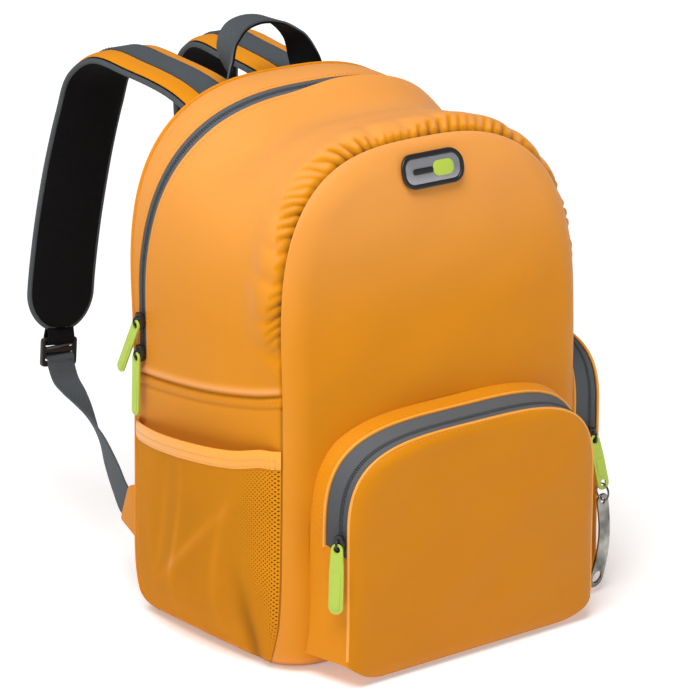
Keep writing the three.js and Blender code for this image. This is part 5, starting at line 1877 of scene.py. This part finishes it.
def opener_mesh():
    """Flat bar with an eye above and a round mouth below, bowed sideways."""
    half, end = OPENER_WIDTH / 2, -OPENER_LENGTH + OPENER_WIDTH / 2
    top, waist, waist_at = half * OPENER_TOP, half * OPENER_WAIST, -OPENER_LENGTH * OPENER_WAIST_AT
    outline = [
        (top, top, top * FULL_ROUND), (-top, top, top * FULL_ROUND),
        (-waist, waist_at, OPENER_WAIST_CORNER),
        (-half, -OPENER_LENGTH, half * ROUND), (half, -OPENER_LENGTH, half * ROUND),
        (waist, waist_at, OPENER_WAIST_CORNER),
    ]
    mouth = round_hole(0, end + OPENER_MOUTH_LIFT, half * OPENER_MOUTH)
    bm = plate(outline, [round_hole(0, 0, OPENER_EYE / 2), mouth], OPENER_THICK, OPENER_SOFTEN)
    cuts = [edge for edge in bm.edges if edge.calc_length() > OPENER_LONG_EDGE]
    bmesh.ops.subdivide_edges(bm, edges=cuts, cuts=OPENER_CUTS, use_grid_fill=True)
    for vert in bm.verts:
        along = min(max(-vert.co.y / OPENER_LENGTH, 0), 1)
        vert.co.x += OPENER_BOW * (math.sin(math.pi * along) - 4 / math.pi * along)
    bmesh.ops.recalc_face_normals(bm, faces=bm.faces[:])
    return bm


class BACKPACK_OT_hardware(bpy.types.Operator):
    """Hang the sliders, the lime pulls, the split ring and the bottle opener"""

    bl_idname = "backpack.hardware"
    bl_label = "Zip pulls and opener"

    def execute(self, context):
        for label, along, pull in MAIN_PULLS:
            at = np.array([along])
            self.hang(label, upper_gusset(at, zip_across(at, 0))[0][0], MAIN_PULL_TURN, pull)
        seat = FRONT_BAG.zip_seat(*FRONT_SLIDER_AT)
        self.hang("front_pocket", seat, FRONT_PULL_TURN, FRONT_PULL)
        seat = SIDE_BAG.zip_seat(*SIDE_SLIDER_AT)
        self.hang_opener(self.hang("side_pocket", seat, SIDE_PULL_TURN, SIDE_PULL), SIDE_PULL)
        return {"FINISHED"}

    def hang(self, label, seat, turn, pull):
        """Slider on its zip and the pull in its bail; gives the place of the pull's hole."""
        out = Vector((math.sin(turn), -math.cos(turn), 0))
        front = Vector(seat) + out * (SLIDER_THICK + pull.lift)
        clear = PULL_CLEAR + PULL_INSET * math.sin(pull.lean)
        drop = math.sqrt(BAIL_RADIUS**2 - (clear + PULL_THICK / 2) ** 2)
        hung = front + out * clear - Vector((0, 0, drop))
        bm = slider_mesh()
        bmesh.ops.transform(bm, matrix=stand(front, turn), verts=bm.verts[:])
        piece(f"{label}_slider_body", bm, *PLASTIC, [f"{label}_slider"])
        bm = pull_mesh(pull)
        bmesh.ops.transform(bm, matrix=stand(hung, turn, pull.lean, pull.swing), verts=bm.verts[:])
        piece(f"{label}_pull_tab", bm, "Lime rubber", "lime_pull", [f"{label}_pull"])
        return hung

    def hang_opener(self, hung, pull):
        """Split ring through the side pull, and the opener hanging from it."""
        reach, middle = pull.length - pull.width / 2, PULL_THICK / 2
        drop = reach * math.cos(pull.swing)
        hole = hung + Vector((
            reach * math.sin(pull.swing),
            -drop * math.sin(pull.lean) - middle * math.cos(pull.lean),
            -drop * math.cos(pull.lean) + middle * math.sin(pull.lean),
        ))
        ring = hole - Vector((0, 0, RING_SLACK + RING_RADIUS))
        coils = [hoop(RING_RADIUS, RING_WIRE / 2) for _ in range(2)]
        for coil, shift in zip(coils, (-0.5, 0.5)):
            bmesh.ops.translate(coil, verts=coil.verts[:], vec=ring + Vector((shift * RING_WIRE, 0, 0)))
        piece("split_ring_coils", join(*coils), *STEEL, ["split_ring"])
        eye = ring + Vector((0, OPENER_THICK / 2, -RING_RADIUS - OPENER_SLACK))
        bm = opener_mesh()
        bmesh.ops.transform(bm, matrix=stand(eye, 0.0), verts=bm.verts[:])
        piece("bottle_opener_bar", bm, *STEEL, ["bottle_opener"], "opener")


# Stage


def light_floor(floor):
    """Floor material that grows brighter away from the bag."""
    tree = floor.node_tree
    surface = tree.nodes["Principled BSDF"]
    place = tree.nodes.new("ShaderNodeTexCoord")
    away = tree.nodes.new("ShaderNodeVectorMath")
    away.operation = "LENGTH"
    tree.links.new(place.outputs["Object"], away.inputs[0])
    glow = tree.nodes.new("ShaderNodeMapRange")
    glow.interpolation_type = "SMOOTHSTEP"
    span = (FLOOR_GLOW_FROM, FLOOR_GLOW_TO, FLOOR_GLOW, FLOOR_GLOW_FAR)
    for socket, value in zip(glow.inputs[1:5], span):
        socket.default_value = value
    tree.links.new(away.outputs["Value"], glow.inputs["Value"])
    tree.links.new(glow.outputs["Result"], surface.inputs["Emission Color"])
    surface.inputs["Emission Strength"].default_value = 1
    return floor


def studio_world():
    """White surroundings that light the bag only a little."""
    world = bpy.data.worlds.new("studio")
    world.use_nodes = True
    tree = world.node_tree
    background = tree.nodes["Background"]
    background.inputs["Color"].default_value = (1, 1, 1, 1)
    path = tree.nodes.new("ShaderNodeLightPath")
    seen = math_node(tree, "MULTIPLY", path.outputs["Is Camera Ray"], WORLD_SEEN - WORLD_GLOW)
    tree.links.new(math_node(tree, "ADD", seen, WORLD_GLOW), background.inputs["Strength"])
    return world


class BACKPACK_OT_stage(bpy.types.Operator):
    """Set up the pale floor, the soft studio light and the camera"""

    bl_idname = "backpack.stage"
    bl_label = "Stage"

    def execute(self, context):
        scene = context.scene
        self.lay_floor(scene)
        scene.world = studio_world()
        scene.view_settings.view_transform = "Standard"
        for box in SOFTBOXES:
            data = bpy.data.lights.new(box.name, "AREA")
            data.shape = "SQUARE"
            data.size = box.side
            data.energy = box.power
            self.aim(scene, box.name, data, Vector(box.place), VIEW_TARGET - Vector(box.place))
        self.set_camera(scene)
        return {"FINISHED"}

    def lay_floor(self, scene):
        """Pale floor under the bag."""
        bm = bmesh.new()
        bmesh.ops.create_grid(bm, x_segments=2, y_segments=2, size=FLOOR_HALF)
        mesh = bpy.data.meshes.new("floor")
        bm.to_mesh(mesh)
        bm.free()
        mesh.materials.append(light_floor(bpy.data.materials["Studio floor"]))
        floor = bpy.data.objects.new("floor", mesh)
        scene.collection.objects.link(floor)

    def aim(self, scene, name, data, place, towards_target):
        """Light or camera at a place, looking along a direction."""
        made = bpy.data.objects.new(name, data)
        made.location = place
        made.rotation_mode = "QUATERNION"
        made.rotation_quaternion = towards_target.to_track_quat("-Z", "Y")
        scene.collection.objects.link(made)
        return made

    def set_camera(self, scene):
        """Camera at the photograph's viewing angle and framing."""
        azimuth, elevation = math.radians(VIEW_AZIMUTH), math.radians(VIEW_ELEVATION)
        back = Vector((
            math.sin(azimuth) * math.cos(elevation),
            -math.cos(azimuth) * math.cos(elevation),
            math.sin(elevation),
        ))
        data = bpy.data.cameras.new("photo_camera")
        data.sensor_width = SENSOR_MM
        data.lens = SENSOR_MM * FOCAL_PX / CROP_SIDE
        data.shift_x = (CROP_LEFT + CROP_SIDE / 2 - FRAME_PX / 2) / CROP_SIDE
        data.shift_y = (FRAME_PX / 2 - CROP_TOP - CROP_SIDE / 2) / CROP_SIDE
        scene.camera = self.aim(scene, "photo_camera", data, VIEW_TARGET + back * VIEW_DISTANCE, -back)


class BACKPACK_PT_panel(bpy.types.Panel):
    """Sizes, colours and steps of the backpack"""

    bl_idname = "BACKPACK_PT_panel"
    bl_label = "Cooler backpack"
    bl_space_type = "VIEW_3D"
    bl_region_type = "UI"
    bl_category = "Backpack"

    def draw(self, context):
        for group in (context.scene.backpack_sizes, context.scene.backpack_colours):
            box = self.layout.box()
            for name in group.__annotations__:
                box.prop(group, name)
        for step in STEPS:
            self.layout.operator(step.bl_idname)


STEPS = (
    BACKPACK_OT_finishes,
    BACKPACK_OT_stage,
    BACKPACK_OT_shell,
    BACKPACK_OT_main_zip,
    BACKPACK_OT_pockets,
    BACKPACK_OT_net_pocket,
    BACKPACK_OT_straps,
    BACKPACK_OT_haul_loop,
    BACKPACK_OT_badge,
    BACKPACK_OT_hardware,
)
CLASSES = (BackpackSizes, BackpackColours, *STEPS, BACKPACK_PT_panel)


def register():
    for made in CLASSES:
        bpy.utils.register_class(made)
    bpy.types.Scene.backpack_sizes = PointerProperty(type=BackpackSizes)
    bpy.types.Scene.backpack_colours = PointerProperty(type=BackpackColours)


def unregister():
    del bpy.types.Scene.backpack_colours
    del bpy.types.Scene.backpack_sizes
    for made in reversed(CLASSES):
        bpy.utils.unregister_class(made)


def main():
    register()
    for step in STEPS:
        area, name = step.bl_idname.split(".")
        getattr(getattr(bpy.ops, area), name)()


if __name__ == "__main__":
    main()
